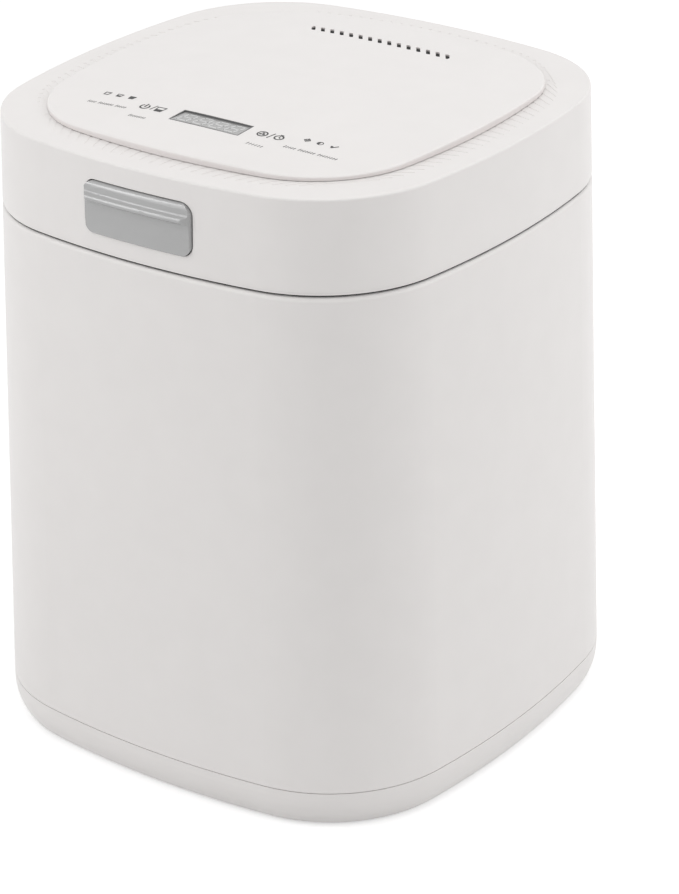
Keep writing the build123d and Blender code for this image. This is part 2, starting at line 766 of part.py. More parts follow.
with BuildPart() as upper_bush:
    tube(bush_outer, output_shaft_radius + running, gearbox_top, cover_top)
    tube(bush_outer + bush_rim, output_shaft_radius + running, gearbox_top - bush_flange, gearbox_top)
finish(upper_bush, "upper_bush")

with BuildPart() as idler_pin:
    tube(idler_pin_radius, 0, gearbox_floor, cover_top, (idler,))
finish(idler_pin, "idler_pin")

# ---------------------------------------------------------------- output shaft, gear and dog
dog_gap = 1.6  # from the chamber's floor to the dog
dog_low = liner_inside + dog_gap
dog_top = dog_low + dog_height
dog_chamfer = 0.8
gear_low = stage_high
gear_high = stage_high + stage_high_width
shaft_end_gap = 0.5
shaft_chamfer = 0.6
gear_web = 3.0
gear_rim = 4.5
web_gap = 1.0

with BuildPart() as output_shaft:
    tube(output_shaft_radius, 0, gearbox_floor + shaft_end_gap, dog_top)
    chamfer(output_shaft.edges().group_by(Axis.Z)[0], shaft_chamfer)
finish(output_shaft, "output_shaft")

with BuildPart() as output_gear:
    gear(gear_teeth, stage_module, gear_low, gear_high, output_shaft_radius)
    tube(gear_teeth * stage_module / 2 - gear_rim, bush_outer + web_gap, gear_high - gear_web,
         gear_high, mode=Mode.SUBTRACT)
    tube(bush_outer, output_shaft_radius,
         gearbox_floor + gearbox_wall + bush_flange + fit_gap, gear_low)
    tube(bush_outer, output_shaft_radius, gear_high, gearbox_top - bush_flange - fit_gap)
finish(output_gear, "output_gear")

with BuildPart() as drive_dog:
    with BuildSketch(Plane.XY.offset(dog_low)):
        RegularPolygon(dog_across_flats / 2, 6, major_radius=False)
        Circle(output_shaft_radius, mode=Mode.SUBTRACT)
    extrude(amount=dog_height)
    chamfer(drive_dog.faces().sort_by(Axis.Z)[-1].outer_wire().edges(), dog_chamfer)
finish(drive_dog, "drive_dog")

# ---------------------------------------------------------------- compound gear and motor
idler_hub_wall = 3.0
pinion_past = 1.5  # the idler's pinion runs past the output gear
motor_low = gearbox_floor - motor_length
motor_round = 3.0
motor_tail = 2.0
motor_shaft_past = 3.0
motor_pinion_margin = 0.5

with BuildPart() as compound_gear:
    idler_bore = idler_pin_radius + running
    idler_hub = idler_pin_radius + idler_hub_wall
    pinion_top = gear_high + pinion_past
    gear(gear_teeth, motor_module, stage_low, stage_low + stage_low_width, idler_bore, idler)
    gear(pinion_teeth, stage_module, stage_low + stage_low_width, pinion_top, idler_bore, idler,
         half_pitch)
    tube(idler_hub, idler_bore, gearbox_floor + gearbox_wall + fit_gap, stage_low, (idler,))
    tube(idler_hub, idler_bore, pinion_top, gearbox_top - fit_gap, (idler,))
finish(compound_gear, "compound_gear")

with BuildPart() as motor_can:
    tube(motor_radius, 0, motor_low, gearbox_floor, (motor,))
    fillet(motor_can.edges().group_by(Axis.Z)[0], motor_round)
    tube(motor_shaft_radius + running, 0, motor_low, gearbox_floor, (motor,), Mode.SUBTRACT)
    tube(frame_screw_radius, 0, gearbox_floor - motor_screw_bite - shaft_end_gap, gearbox_floor,
         motor_screw_spots, Mode.SUBTRACT)
finish(motor_can, "motor_can")

with BuildPart() as motor_screws:
    plate_top = gearbox_floor + gearbox_wall
    screw(motor_screw_spots, plate_top, plate_top + motor_screw_head,
          gearbox_floor - motor_screw_bite, plate_top)
finish(motor_screws, "motor_screws")

with BuildPart() as motor_shaft:
    tube(motor_shaft_radius, 0, motor_low - motor_tail,
         stage_low + stage_low_width + motor_shaft_past, (motor,))
finish(motor_shaft, "motor_shaft")

with BuildPart() as motor_pinion:
    gear(pinion_teeth, motor_module, stage_low - motor_pinion_margin,
         stage_low + stage_low_width + motor_pinion_margin, motor_shaft_radius, motor, half_pitch)
finish(motor_pinion, "motor_pinion")

# ---------------------------------------------------------------- power board
transformer_size = (28.0, 30.0, 24.0)
transformer_at = (12.0, 50.0)  # from the board's left front corner
relay_size = (12.0, 20.0, 16.0)
relay_at = (14.0, 14.0)
terminal_size = (6.0, 30.0, 10.0)
terminal_at = (46.0, 40.0)
capacitor_radius = 6.5
capacitor_height = 22.0
capacitor_x = 36.0
capacitor_y = (22.0, 38.0)
capacitor_spots = [(board_x + capacitor_x, board_y + y) for y in capacitor_y]


def board_part(size, at):
    """A box that stands on the power board, at a place measured from the board's corner."""
    low = (board_x + at[0], board_y + at[1], board_top)
    block(low, tuple(a + b for a, b in zip(low, size)))


with BuildPart() as power_board:
    block((board_x, board_y, board_height),
          (board_x + board_width, board_y + board_length, board_top))
    tube(frame_screw_radius + fit_gap, 0, board_height, board_top, board_posts, Mode.SUBTRACT)
    board_part(transformer_size, transformer_at)
    board_part(relay_size, relay_at)
    board_part(terminal_size, terminal_at)
    tube(capacitor_radius, 0, board_top, board_top + capacitor_height, capacitor_spots)
finish(power_board, "power_board")

# ---------------------------------------------------------------- bucket and stirrer
bucket_floor = bucket_bottom + bucket_floor_rise
bucket_floor_top = bucket_floor + bucket_wall
bush_bore = rotor_shaft_radius + running
rotor_bush_radius = 8.5
collar_low = bucket_top - collar_height
collar_round = 0.8


def bucket_radius(height):
    """Outer radius of the tapered bucket wall."""
    share = (height - bucket_bottom) / bucket_height
    return bucket_low_radius + (bucket_high_radius - bucket_low_radius) * share


with BuildPart() as bucket:
    with BuildSketch(Plane.XZ):
        with BuildLine():
            Polyline(
                (bucket_low_radius, bucket_bottom),
                (bucket_radius(collar_low), collar_low),
                (bucket_radius(collar_low) - bucket_wall, collar_low),
                (bucket_radius(bucket_floor_top) - bucket_wall, bucket_floor_top),
                (rotor_bush_radius, bucket_floor_top),
                (rotor_bush_radius, bucket_floor),
                (bucket_radius(bucket_floor) - bucket_wall, bucket_floor),
                (bucket_low_radius - bucket_wall, bucket_bottom),
                close=True,
            )
        make_face()
    revolve(axis=Axis.Z)
finish(bucket, "bucket")

grip_half = 22.0
grip_wall = 3.0
grip_height = 11.5
grip_top = bucket_top + grip_height
grip_round = 1.0
grip_hole_width = 28.0
grip_hole_height = 7.0
grip_hole_rise = 6.0  # centre of the hole above the collar

# the collar on the bucket's wall
with BuildPart() as bucket_collar:
    tube(bucket_high_radius + bucket_rim, bucket_high_radius - bucket_wall, collar_low, bucket_top)
    fillet(bucket_collar.edges().filter_by(GeomType.CIRCLE).group_by(Axis.Z)[-1], collar_round)

with BuildPart() as bucket_grips:
    grip_outer = bucket_high_radius + bucket_rim + fit_gap / 2
    tube(grip_outer, grip_outer - grip_wall, collar_low, grip_top)
    block((-grip_outer, -grip_half, collar_low), (grip_outer, grip_half, grip_top),
          Mode.INTERSECT)
    fillet(bucket_grips.edges().filter_by(Axis.Z), grip_round)
    with BuildSketch(Plane.YZ.offset(-grip_outer - cut_past)):
        with Locations((0, bucket_top + grip_hole_rise)):
            RectangleRounded(grip_hole_width, grip_hole_height, 0.43 * grip_hole_height)
    extrude(amount=2 * (grip_outer + cut_past), mode=Mode.SUBTRACT)
    add(bucket_collar.part)
finish(bucket_grips, "bucket_grips")

blade_rise = 15.5  # the lower fixed blade above the bucket's floor
blade_low = bucket_floor_top + blade_rise
blade_height = 3.0
blade_pitch = 16.0
blade_width = 12.0
blade_inner = 24.0
blade_tip = 2.0  # half the blade's width at its inner end

with BuildPart() as fixed_blades:
    for side, low in ((1, blade_low), (-1, blade_low + blade_pitch)):
        reach = bucket_radius(low) - bucket_wall
        with BuildSketch(Plane.XY.offset(low)):
            Polygon((side * blade_inner, -blade_tip), (side * reach, -blade_width / 2),
                    (side * reach, blade_width / 2), (side * blade_inner, blade_tip), align=None)
            Circle(reach, mode=Mode.INTERSECT)
        extrude(amount=blade_height)
finish(fixed_blades, "fixed_blades")

rotor_bush_rim = 2.5
rotor_bush_cap = 2.5
rotor_bush_foot = 1.5

with BuildPart() as bucket_bush:
    tube(rotor_bush_radius, bush_bore, bucket_floor, bucket_floor_top)
    tube(rotor_bush_radius + rotor_bush_rim, bush_bore, bucket_floor_top,
         bucket_floor_top + rotor_bush_cap)
    tube(rotor_bush_radius + rotor_bush_rim, bush_bore, bucket_floor - rotor_bush_foot,
         bucket_floor)
finish(bucket_bush, "bucket_bush")

rotor_dog_radius = 14.0
rotor_dog_gap = 0.6
rotor_dog_low = dog_low + rotor_dog_gap
rotor_dog_top = bucket_floor - rotor_bush_foot - fit_gap
hub_low = bucket_floor_top + rotor_bush_cap + fit_gap
hub_radius = 12.0
hub_round = 4.0
hub_cap = 3.0  # closed top of the stirrer's hub
arm_gap = 0.8
arm_height = blade_low - hub_low - arm_gap
arm_heights = [hub_low] + [blade_low + n * blade_pitch + blade_height + arm_gap for n in (0, 1)]
hub_past = 2.0
hub_top = arm_heights[-1] + arm_height + hub_past

with BuildPart() as rotor_dog:
    tube(rotor_dog_radius, 0, rotor_dog_low, rotor_dog_top)
    with BuildSketch(Plane.XY.offset(rotor_dog_low)):
        RegularPolygon(dog_across_flats / 2 + fit_gap, 6, major_radius=False)
    extrude(amount=dog_top + fit_gap - rotor_dog_low, mode=Mode.SUBTRACT)
    tube(rotor_shaft_radius, 0, dog_top + fit_gap, rotor_dog_top, mode=Mode.SUBTRACT)
finish(rotor_dog, "rotor_dog")

with BuildPart() as rotor_shaft:
    tube(rotor_shaft_radius, 0, dog_top + fit_gap, hub_top - hub_cap)
finish(rotor_shaft, "rotor_shaft")

arm_tip_gap = 2.0
arm_width = 9.0
arm_turn = radians(34)  # turns the first arm away from the fixed blades

with BuildPart() as stirrer:
    tube(hub_radius, 0, hub_low, hub_top)
    fillet(stirrer.edges().group_by(Axis.Z)[-1], hub_round)
    for number, low in enumerate(arm_heights):
        reach = bucket_radius(low) - bucket_wall - arm_tip_gap
        turn = 2 * pi * number / 3 + arm_turn
        direction = Plane(origin=(0, 0, low), x_dir=(cos(turn), sin(turn), 0))
        with BuildSketch(direction):
            with BuildLine():
                Polyline((0, -arm_width), (reach * 0.55, -arm_width * 0.9),
                         (reach, -arm_width * 0.15), (reach, arm_width * 0.15),
                         (reach * 0.5, arm_width * 0.1), (0, arm_width * 0.9), close=True)
            make_face()
        extrude(amount=arm_height)
    tube(rotor_shaft_radius, 0, hub_low, hub_top - hub_cap, mode=Mode.SUBTRACT)
finish(stirrer, "stirrer")

# ---------------------------------------------------------------- catch and lid sensor
catch_post_gap = 1.0
catch_post_set_back = 0.8

with BuildPart() as catch_spring:
    block((-catch_half, catch_front, catch_bottom),
          (catch_half, catch_back, catch_bottom + catch_thickness))
    for side in (-1, 1):
        ends = sorted((side * (hook_slot_half + catch_post_gap), side * catch_half))
        block((ends[0], catch_front + catch_post_set_back, catch_bottom + catch_thickness),
              (ends[1], catch_back, deck_under))
    tube(frame_screw_radius + fit_gap, 0, catch_bottom, deck_under, catch_screws, Mode.SUBTRACT)
finish(catch_spring, "catch_spring")

sensor_width = 16.0
sensor_length = 9.0
sensor_height = 6.0
sensor_round = 1.5
sensor_from_side = 60.5
sensor_from_front = 30.5
sensor_spot = (half_width - sensor_from_side, sensor_from_front - half_width)
magnet_radius = 4.5
magnet_height = 4.0

with BuildPart() as lid_sensor:
    with Locations((*sensor_spot, deck_under - sensor_height / 2)):
        Box(sensor_width, sensor_length, sensor_height)
    fillet(lid_sensor.edges().filter_by(Axis.Z), sensor_round)
finish(lid_sensor, "lid_sensor")

# ---------------------------------------------------------------- hinge on the body
hinge_block_top = lid_seam - barrel_radius - hinge_clear
hinge_back = hinge_y - barrel_radius - hinge_clear + fit_gap
body_barrels = [(-hinge_half_length, -lid_barrel_end - barrel_gap), (-centre_barrel, centre_barrel),
                (lid_barrel_end + barrel_gap, hinge_half_length)]
lid_barrels = [(-lid_barrel_end, -centre_barrel - barrel_gap),
               (centre_barrel + barrel_gap, lid_barrel_end)]

flange_short = 4.0
flange_half = hinge_half_length - flange_short
flange_front = casing_half(hinge_pocket_low) - wall - hinge_plate - hinge_wall_bow
flange_drop = 14.0
flange_low = hinge_pocket_low - flange_drop
barrel_neck = 0.6  # the barrels' necks stand this far inside the barrels' front
flange_step = 4.0

# the flange lies against the shell's rear wall
with BuildPart() as hinge_flange:
    block((-flange_half, flange_front, flange_low),
          (flange_half, half_width, hinge_pocket_low + fit_gap))
    add(shell_inside.part, mode=Mode.INTERSECT)

with BuildPart() as body_hinge:
    drafted([(hinge_pocket_low + fit_gap, casing_half(hinge_pocket_low)),
             (hinge_block_top, casing_half(hinge_block_top))])
    block((-hinge_half_length, hinge_back, hinge_pocket_low + fit_gap),
          (hinge_half_length, half_width, hinge_block_top), Mode.INTERSECT)
    add(hinge_flange.part)
    block((-flange_half, flange_front, hinge_pocket_low + fit_gap),
          (flange_half, hinge_back + contact_gap, hinge_block_top - flange_step))
    for start, end in body_barrels:
        block((start, hinge_y - barrel_radius + barrel_neck, hinge_block_top - barrel_neck),
              (end, hinge_y + barrel_radius * 0.35, lid_seam))
        rod(barrel_radius, start, end, hinge_y, lid_seam)
    rod(hinge_pin_radius, -hinge_half_length, hinge_half_length, hinge_y, lid_seam, Mode.SUBTRACT)
    wall_holes(hinge_screw_spots, frame_screw_radius + fit_gap, hinge_screw_end,
               hinge_screw_end - flange_front)
finish(body_hinge, "body_hinge")

with BuildPart() as hinge_screws:
    wall_screws(hinge_screw_spots, flange_front, hinge_screw_end)
finish(hinge_screws, "hinge_screws")

with BuildPart() as hinge_pin:
    rod(hinge_pin_radius, -hinge_half_length, hinge_half_length, hinge_y, lid_seam)
finish(hinge_pin, "hinge_pin")

# ---------------------------------------------------------------- lid ring
lid_boss_set_in = 4.5
lid_boss_reach = half_width - lid_boss_set_in  # centre to screw, along the diagonal
lid_boss_depth = 12.0
lid_plate_gap = 0.6  # the inner lid stands inside the lid's lower edge
lid_plate_low = lid_bottom + lid_plate_gap
lid_plate_thickness = 2.0
lid_plate_high = lid_plate_low + lid_plate_thickness


def outline_spots(half, count, shift):
    """Evenly spaced places beside a section's outline, each with X away from the middle."""
    with BuildSketch(mode=Mode.PRIVATE) as section:
        bulged_square(half)
    outline = section.sketch.faces()[0].outer_wire()
    spots = []
    for number in range(count):
        here = outline.position_at(number / count)
        outwards = here.normalized()
        spot = here + outwards * shift
        spots.append(Location((spot.X, spot.Y), Vector(1, 0, 0).get_signed_angle(outwards)))
    return spots


# the hollow inside the lid's wall
with BuildPart() as lid_inside:
    drafted([(lid_bottom, lid_half(lid_bottom)), (lid_flange_under, lid_half(lid_flange_under))],
            inset=wall)

with BuildPart() as lid_ring:
    drafted([(lid_bottom, lid_half(lid_bottom)), (rim_height, rim_half)])
    fillet(lid_ring.faces().sort_by(Axis.Z)[-1].edges(), lid_edge)
    add(lid_inside.part, mode=Mode.SUBTRACT)
    with BuildSketch(Plane.XY.offset(lid_flange_under)):
        bulged_square(panel_half, skirt_inset - fit_gap)
    extrude(amount=wall, mode=Mode.SUBTRACT)
    square_ring((half_width, 0), (lid_half(lid_bottom), lid_bead_inset), lid_bottom,
                lid_bottom + lid_bead, Mode.SUBTRACT)
    tube(boss_radius, 0, lid_plate_high, lid_flange_under, corners(lid_boss_reach))
    tube(frame_screw_radius, 0, lid_plate_high, lid_plate_high + lid_boss_depth,
         corners(lid_boss_reach), Mode.SUBTRACT)
    # window for the latch key
    with BuildSketch(Plane.XZ.offset(latch_face - 2 * latch_pin_depth)):
        window_low = latch_low - fit_gap
        window_high = latch_high + latch_gap
        with Locations((0, (window_low + window_high) / 2)):
            RectangleRounded(latch_width + 2 * latch_gap, window_high - window_low,
                             latch_corner + latch_gap)
    extrude(amount=3 * latch_pin_depth, mode=Mode.SUBTRACT)
    # notch around the hinge barrels
    block((-hinge_half, hinge_y - barrel_radius - hinge_clear, lid_bottom),
          (hinge_half, half_width, hinge_notch_top), Mode.SUBTRACT)
    wall_holes(lid_hinge_screw_spots, frame_screw_radius, lid_screw_end, 2 * wall)
    # fine radial grooves beside the panel
    with BuildSketch(Plane.XY.offset(rim_height)):
        with Locations(*outline_spots(panel_half, groove_count,
                                      groove_length / 2 - groove_overlap)):
            Rectangle(groove_length + 2 * groove_overlap, groove_width)
    extrude(amount=-groove_depth, mode=Mode.SUBTRACT)
finish(lid_ring, "lid_ring")

# ---------------------------------------------------------------- top panel
control_board_drop = 2.5  # upper face of the control board below the lid's flat ring
board_top_height = rim_height - control_board_drop
control_past = 31.6
control_width = panel_half + control_past
control_length = 26.0
control_set_back = 1.0
control_y = display_y + control_set_back
panel_post_radius = 2.5
panel_post_bore = 1.0
panel_post_depth = 3.0
panel_posts = [
    (x, control_y + y)
    for x in (board_edge - control_width / 2, control_width / 2 - board_edge)
    for y in (board_edge - control_length / 2, control_length / 2 - board_edge)
]
cavity_inset = skirt_inset + skirt_wall
vent_length = vent_reach / cos(radians(vent_slant))
vent_row = (vent_count - 1) * vent_pitch

# the hollow under the domed face
with BuildPart() as panel_hollow:
    with BuildSketch(Plane.XY.offset(rim_height - skirt_depth)):
        bulged_square(panel_half, cavity_inset)
    extrude(amount=total_height - rim_height + skirt_depth)
    with Locations((0, 0, total_height - dome_radius)):
        Sphere(dome_radius - panel_wall, mode=Mode.INTERSECT)

# the slanted vent slots, cut off square at both ends of the row
with BuildPart() as vent_slots:
    with BuildSketch(Plane.XY.offset(panel_under)):
        with Locations((vent_x, vent_y)):
            with GridLocations(vent_pitch, 0, vent_count, 1):
                Rectangle(vent_width, vent_length, rotation=vent_slant)
    extrude(amount=total_height - panel_under)
    block((vent_x - vent_row / 2 - vent_width, vent_y - vent_reach / 2, panel_under),
          (vent_x + vent_row / 2 + vent_width, vent_y + vent_reach / 2, total_height),
          Mode.INTERSECT)

with BuildPart() as top_panel:
    with BuildSketch(Plane.XY.offset(panel_under)):
        bulged_square(panel_half)
    extrude(amount=total_height - panel_under)
    with Locations((0, 0, total_height - dome_radius)):
        Sphere(dome_radius, mode=Mode.INTERSECT)
    fillet(top_panel.faces().sort_by(Axis.Z)[-1].edges(), panel_edge)
    with BuildSketch(Plane.XY.offset(panel_under)):
        bulged_square(panel_half, shoulder_inset)
    extrude(amount=rim_height - panel_under)
    square_ring((panel_half, skirt_inset), (panel_half, cavity_inset),
                rim_height - skirt_depth, rim_height)
    add(panel_hollow.part, mode=Mode.SUBTRACT)
    tube(panel_post_radius, 0, board_top_height, dome_height(*panel_posts[0]) - 0.5 * panel_wall,
         panel_posts)
    tube(panel_post_bore, 0, board_top_height, board_top_height + panel_post_depth, panel_posts,
         Mode.SUBTRACT)
    with BuildSketch(Plane.XY.offset(rim_height)):
        with Locations((display_x, display_y)):
            Rectangle(display_width, display_depth)
    extrude(amount=total_height - rim_height, mode=Mode.SUBTRACT)
    add(vent_slots.part, mode=Mode.SUBTRACT)
finish(top_panel, "top_panel")

lens_top = dome_height(0, display_y) - lens_sink
lens_bottom = lens_top - lens_thickness
module_edge = 1.0  # the display module's frame around the window, and its face inside it
module_step = 2.2
chip_half = 4.0
chip_thickness = 2.0
chip_spots = [(share * control_width, control_y) for share in (-0.27, -0.09, 0.11, 0.26)]
touch_radius = 3.0
touch_gap = 0.6
touch_reach = (28.5, 37.3, 56.5)  # the touch pads' places on each side of the display
touch_spots = [(display_x + side * x, display_y) for side in (-1, 1) for x in touch_reach]

with BuildPart() as display_lens:
    with Locations((display_x, display_y, lens_bottom + lens_thickness / 2)):
        Box(display_width - 2 * contact_gap, display_depth - 2 * contact_gap, lens_thickness)
finish(display_lens, "display_lens")

with BuildPart() as display_module:
    with BuildSketch(Plane.XY.offset(board_top_height)):
        with Locations((display_x, display_y)):
            Rectangle(display_width + 2 * module_edge, display_depth + 2 * module_edge)
    extrude(amount=lens_bottom - module_step - board_top_height)
    with BuildSketch(Plane.XY.offset(lens_bottom - module_step)):
        with Locations((display_x, display_y)):
            Rectangle(display_width - 2 * module_edge, display_depth - 2 * module_edge)
    extrude(amount=module_step)
finish(display_module, "display_module")

with BuildPart() as control_board:
    board_bottom = board_top_height - board_thickness
    with Locations((0, control_y, board_bottom + board_thickness / 2)):
        Box(control_width, control_length, board_thickness)
    with BuildSketch(Plane.XY.offset(board_bottom)):
        with Locations(*chip_spots):
            Rectangle(2 * chip_half, 2 * chip_half)
    extrude(amount=-chip_thickness)
finish(control_board, "control_board")

with BuildPart() as touch_pads:
    pad_top = dome_height(touch_reach[-1], display_y) - panel_wall - touch_gap
    tube(touch_radius, 0, board_top_height, pad_top, touch_spots)
finish(touch_pads, "touch_pads")

# ---------------------------------------------------------------- inner lid, gasket, filter
gasket_past = 1.5
gasket_radius = mouth_radius + gasket_past
gasket_width = 5.0
gasket_height = 3.6
gasket_round = 1.2
ring_set_in = 3.0  # the ring that carries the gasket stands this far inside it
ring_wall = 2.0
ceiling = grip_top + bucket_headroom  # underside of the plate over the bucket
filter_set_in = 47.0
filter_radius = mouth_radius - filter_set_in
filter_rise = 3.0
filter_low = ceiling + filter_rise
filter_thickness = 22.0
filter_high = filter_low + filter_thickness
filter_chamfer = 1.5
well_wall = 2.0
well_past = 2.0
grille_width = 5.0
grille_rim = 4.0
grille_bar = 4.0
grille_count = 9
hook_window_gap = 1.0
hook_window = hook_slot_half + hook_window_gap
gasket_low = deck_top + fit_gap
gasket_top = gasket_low + gasket_height
ring_inner = gasket_radius - ring_set_in
ring_past = 1.0
ring_outer = gasket_radius + gasket_width + ring_past
well_inner = filter_radius + fit_gap
lid_screw_head = 1.4
lid_screw_bite = 11.0

with BuildPart() as inner_lid:
    with BuildSketch(Plane.XY.offset(lid_plate_low)):
        bulged_square(lid_half(lid_plate_high), wall + fit_gap)
    extrude(amount=lid_plate_high - lid_plate_low)
    tube(ring_outer, 0, gasket_top, lid_plate_low)
    tube(ring_inner + ring_wall, 0, lid_plate_high, ceiling)
    tube(ring_inner, 0, gasket_top, ceiling, mode=Mode.SUBTRACT)
    tube(frame_screw_radius + fit_gap, 0, lid_plate_low, lid_plate_high, corners(lid_boss_reach),
         Mode.SUBTRACT)
    block((-hook_window, -half_width, lid_plate_low),
          (hook_window, hook_slot_back + cut_past, lid_plate_high), Mode.SUBTRACT)
    block((-hinge_half, hinge_y - barrel_radius - hinge_clear - cut_past, lid_plate_low),
          (hinge_half, half_width, lid_plate_high), Mode.SUBTRACT)
finish(inner_lid, "inner_lid")

with BuildPart() as filter_well:
    tube(ring_inner + ring_wall, well_inner, ceiling, ceiling + ring_wall)
    tube(well_inner + well_wall, well_inner, ceiling + ring_wall, filter_high + well_past)
finish(filter_well, "filter_well")

with BuildPart() as lid_gasket:
    tube(gasket_radius + gasket_width, gasket_radius, gasket_low, gasket_top)
    fillet(lid_gasket.edges().group_by(Axis.Z)[0], gasket_round)
finish(lid_gasket, "lid_gasket")

with BuildPart() as filter_cover:
    tube(well_inner - fit_gap / 2, 0, ceiling, filter_low)
    with BuildSketch(Plane.XY.offset(ceiling)):
        with GridLocations(2 * grille_width, 0, grille_count, 1):
            Rectangle(grille_width, 2 * filter_radius)
        Circle(filter_radius - grille_rim, mode=Mode.INTERSECT)
    extrude(amount=filter_rise, mode=Mode.SUBTRACT)
    with Locations((0, 0, ceiling + filter_rise / 2)):
        Box(2 * filter_radius - grille_rim, grille_bar, filter_rise)
finish(filter_cover, "filter_cover")

with BuildPart() as filter_cassette:
    tube(filter_radius - fit_gap, 0, filter_low, filter_high)
    chamfer(filter_cassette.edges().filter_by(GeomType.CIRCLE), filter_chamfer)
finish(filter_cassette, "filter_cassette")

with BuildPart() as lid_screws:
    screw(corners(lid_boss_reach), lid_plate_low - lid_screw_head, lid_plate_low, lid_plate_low,
          lid_plate_high + lid_screw_bite)
    wall_screws(lid_hinge_screw_spots, lid_plate_front, lid_screw_end)
finish(lid_screws, "lid_screws")

with BuildPart() as sensor_magnet:
    tube(magnet_radius, 0, lid_plate_high, lid_plate_high + magnet_height, (sensor_spot,))
finish(sensor_magnet, "sensor_magnet")

# ---------------------------------------------------------------- fan
fan_side = 50.0
fan_gap = 8.0  # from the filter to the fan
fan_spot = (0.0, filter_radius + fan_gap + fan_side / 2)
fan_rise = 14.0
fan_low = ceiling + fan_rise
fan_height = 14.0
fan_top = fan_low + fan_height
fan_corner = 4.0
fan_bore = 23.0
fan_hub = 9.0
fan_shaft = 1.5
fan_shaft_height = 10.0
fan_base = 2.0
fan_spoke = 3.0
leg_radius = 3.0
leg_margin = 0.5
blade_count = 7
blade_chord = 12.0
blade_thickness = 1.2
blade_slope = 38.0
blade_root = 0.6  # the blades start this far inside the hub
wheel_low_gap = 0.5
wheel_high_gap = 1.0
wheel_tip_gap = 0.8
wheel_cap = 2.0

with BuildPart() as fan_housing:
    with BuildSketch(Plane.XY.offset(fan_low)):
        with Locations(fan_spot):
            RectangleRounded(fan_side, fan_side, fan_corner)
            Circle(fan_bore, mode=Mode.SUBTRACT)
    extrude(amount=fan_height)
    tube(fan_hub, 0, fan_low, fan_low + fan_base, (fan_spot,))
    with BuildSketch(Plane.XY.offset(fan_low)):
        with Locations(fan_spot):
            for angle in (-45, 45):
                Rectangle(2 * fan_bore + fan_base, fan_spoke, rotation=angle)
    extrude(amount=fan_base)
    tube(fan_shaft, 0, fan_low, fan_low + fan_shaft_height, (fan_spot,))
    leg_reach = fan_side / 2 - leg_radius - leg_margin
    front_legs = [(fan_spot[0] + x, fan_spot[1] - leg_reach) for x in (-leg_reach, leg_reach)]
    rear_legs = [(fan_spot[0] + x, fan_spot[1] + leg_reach) for x in (-leg_reach, leg_reach)]
    tube(leg_radius, 0, ceiling + ring_wall, fan_low, front_legs)
    tube(leg_radius, 0, lid_plate_high, fan_low, rear_legs)
finish(fan_housing, "fan_housing")

with BuildPart() as fan_wheel:
    wheel_low = fan_low + fan_base + wheel_low_gap
    wheel_high = fan_top - wheel_high_gap
    blade_length = fan_bore - fan_hub + blade_root
    blade_middle = fan_hub - blade_root + blade_length / 2
    tube(fan_hub, 0, wheel_low, wheel_high, (fan_spot,))
    with Locations((*fan_spot, (wheel_low + wheel_high) / 2)):
        with PolarLocations(blade_middle, blade_count):
            Box(blade_length, blade_chord, blade_thickness, rotation=(blade_slope, 0, 0))
    tube(fan_bore - wheel_tip_gap, 0, wheel_low, wheel_high, (fan_spot,), Mode.INTERSECT)
    tube(fan_shaft + running, 0, wheel_low, wheel_high - wheel_cap, (fan_spot,), Mode.SUBTRACT)
finish(fan_wheel, "fan_wheel")

# ---------------------------------------------------------------- hinge on the lid
lug_past = 1.0
lug_set_in = 1.2
lid_hinge_rise = 1.0
lug_front = hinge_y - barrel_radius - lug_past
lug_back = hinge_y - lug_set_in
lid_hinge_low = hinge_notch_top + lid_hinge_rise
lid_hinge_height = 14.0
lug_plate_past = 1.5
lug_plate = hinge_plate + lug_plate_past

with BuildPart() as lid_hinge:
    block((-hinge_half_length, lid_plate_front, lid_hinge_low),
          (hinge_half_length, half_width, lid_hinge_low + lid_hinge_height))
    add(lid_inside.part, mode=Mode.INTERSECT)
    for start, end in lid_barrels:
        rod(barrel_radius, start, end, hinge_y, lid_seam)
        block((start, lug_front, lid_seam), (end, lug_back, hinge_notch_top - fit_gap))
        block((start, lid_plate_front, lid_plate_high + fit_gap),
              (end, lid_plate_front + lug_plate, lid_hinge_low + hinge_plate))
    rod(hinge_pin_radius + running, -hinge_half_length, hinge_half_length, hinge_y, lid_seam,
        Mode.SUBTRACT)
    wall_holes(lid_hinge_screw_spots, frame_screw_radius + fit_gap, lid_screw_end,
               lid_screw_end - lid_plate_front)
finish(lid_hinge, "lid_hinge")

# ---------------------------------------------------------------- latch
side_bow = side_radius * latch_face / half_width
bow_centre = side_bow - latch_face
bezel_wall = 2.0
bezel_half = latch_width / 2 + 1.2
bezel_depth = 8.5
bezel_back = pin_y + bezel_depth
ridge_end_round = 7.0
key_top_round = 2.6
key_foot_round = 0.5
valley_rise = 3.0  # where the ridge starts to swell out, above its crest
valley_proud = 0.2
ridge_rise = 0.7  # height of the ridge's underside
key_back = latch_thickness - latch_proud  # back of the key's plate behind the wall's face
key_half_arc = radians(12.0)  # stretch of the wall's bow that the key's stock spans, each way
lug_radius = 3.2
lug_width = 5.0
lug_x = 18.0
lug_foot = 4.0
pad_rise = 4.0
pad_low = latch_low + pad_rise
hook_top = latch_pin_height - lug_radius
spring_gap = 0.15  # from the pin to the spring's coils
rivet_radius = 1.8
rivet_height = latch_pin_radius + spring_gap - hook_thickness - contact_gap
rivet_edge = 5.0  # from the hook's top to its upper rivet
spring_wire = 0.35  # radius of the wire
spring_turns = 18
spring_foot = 6.0  # from the key's lower edge to the leg's end

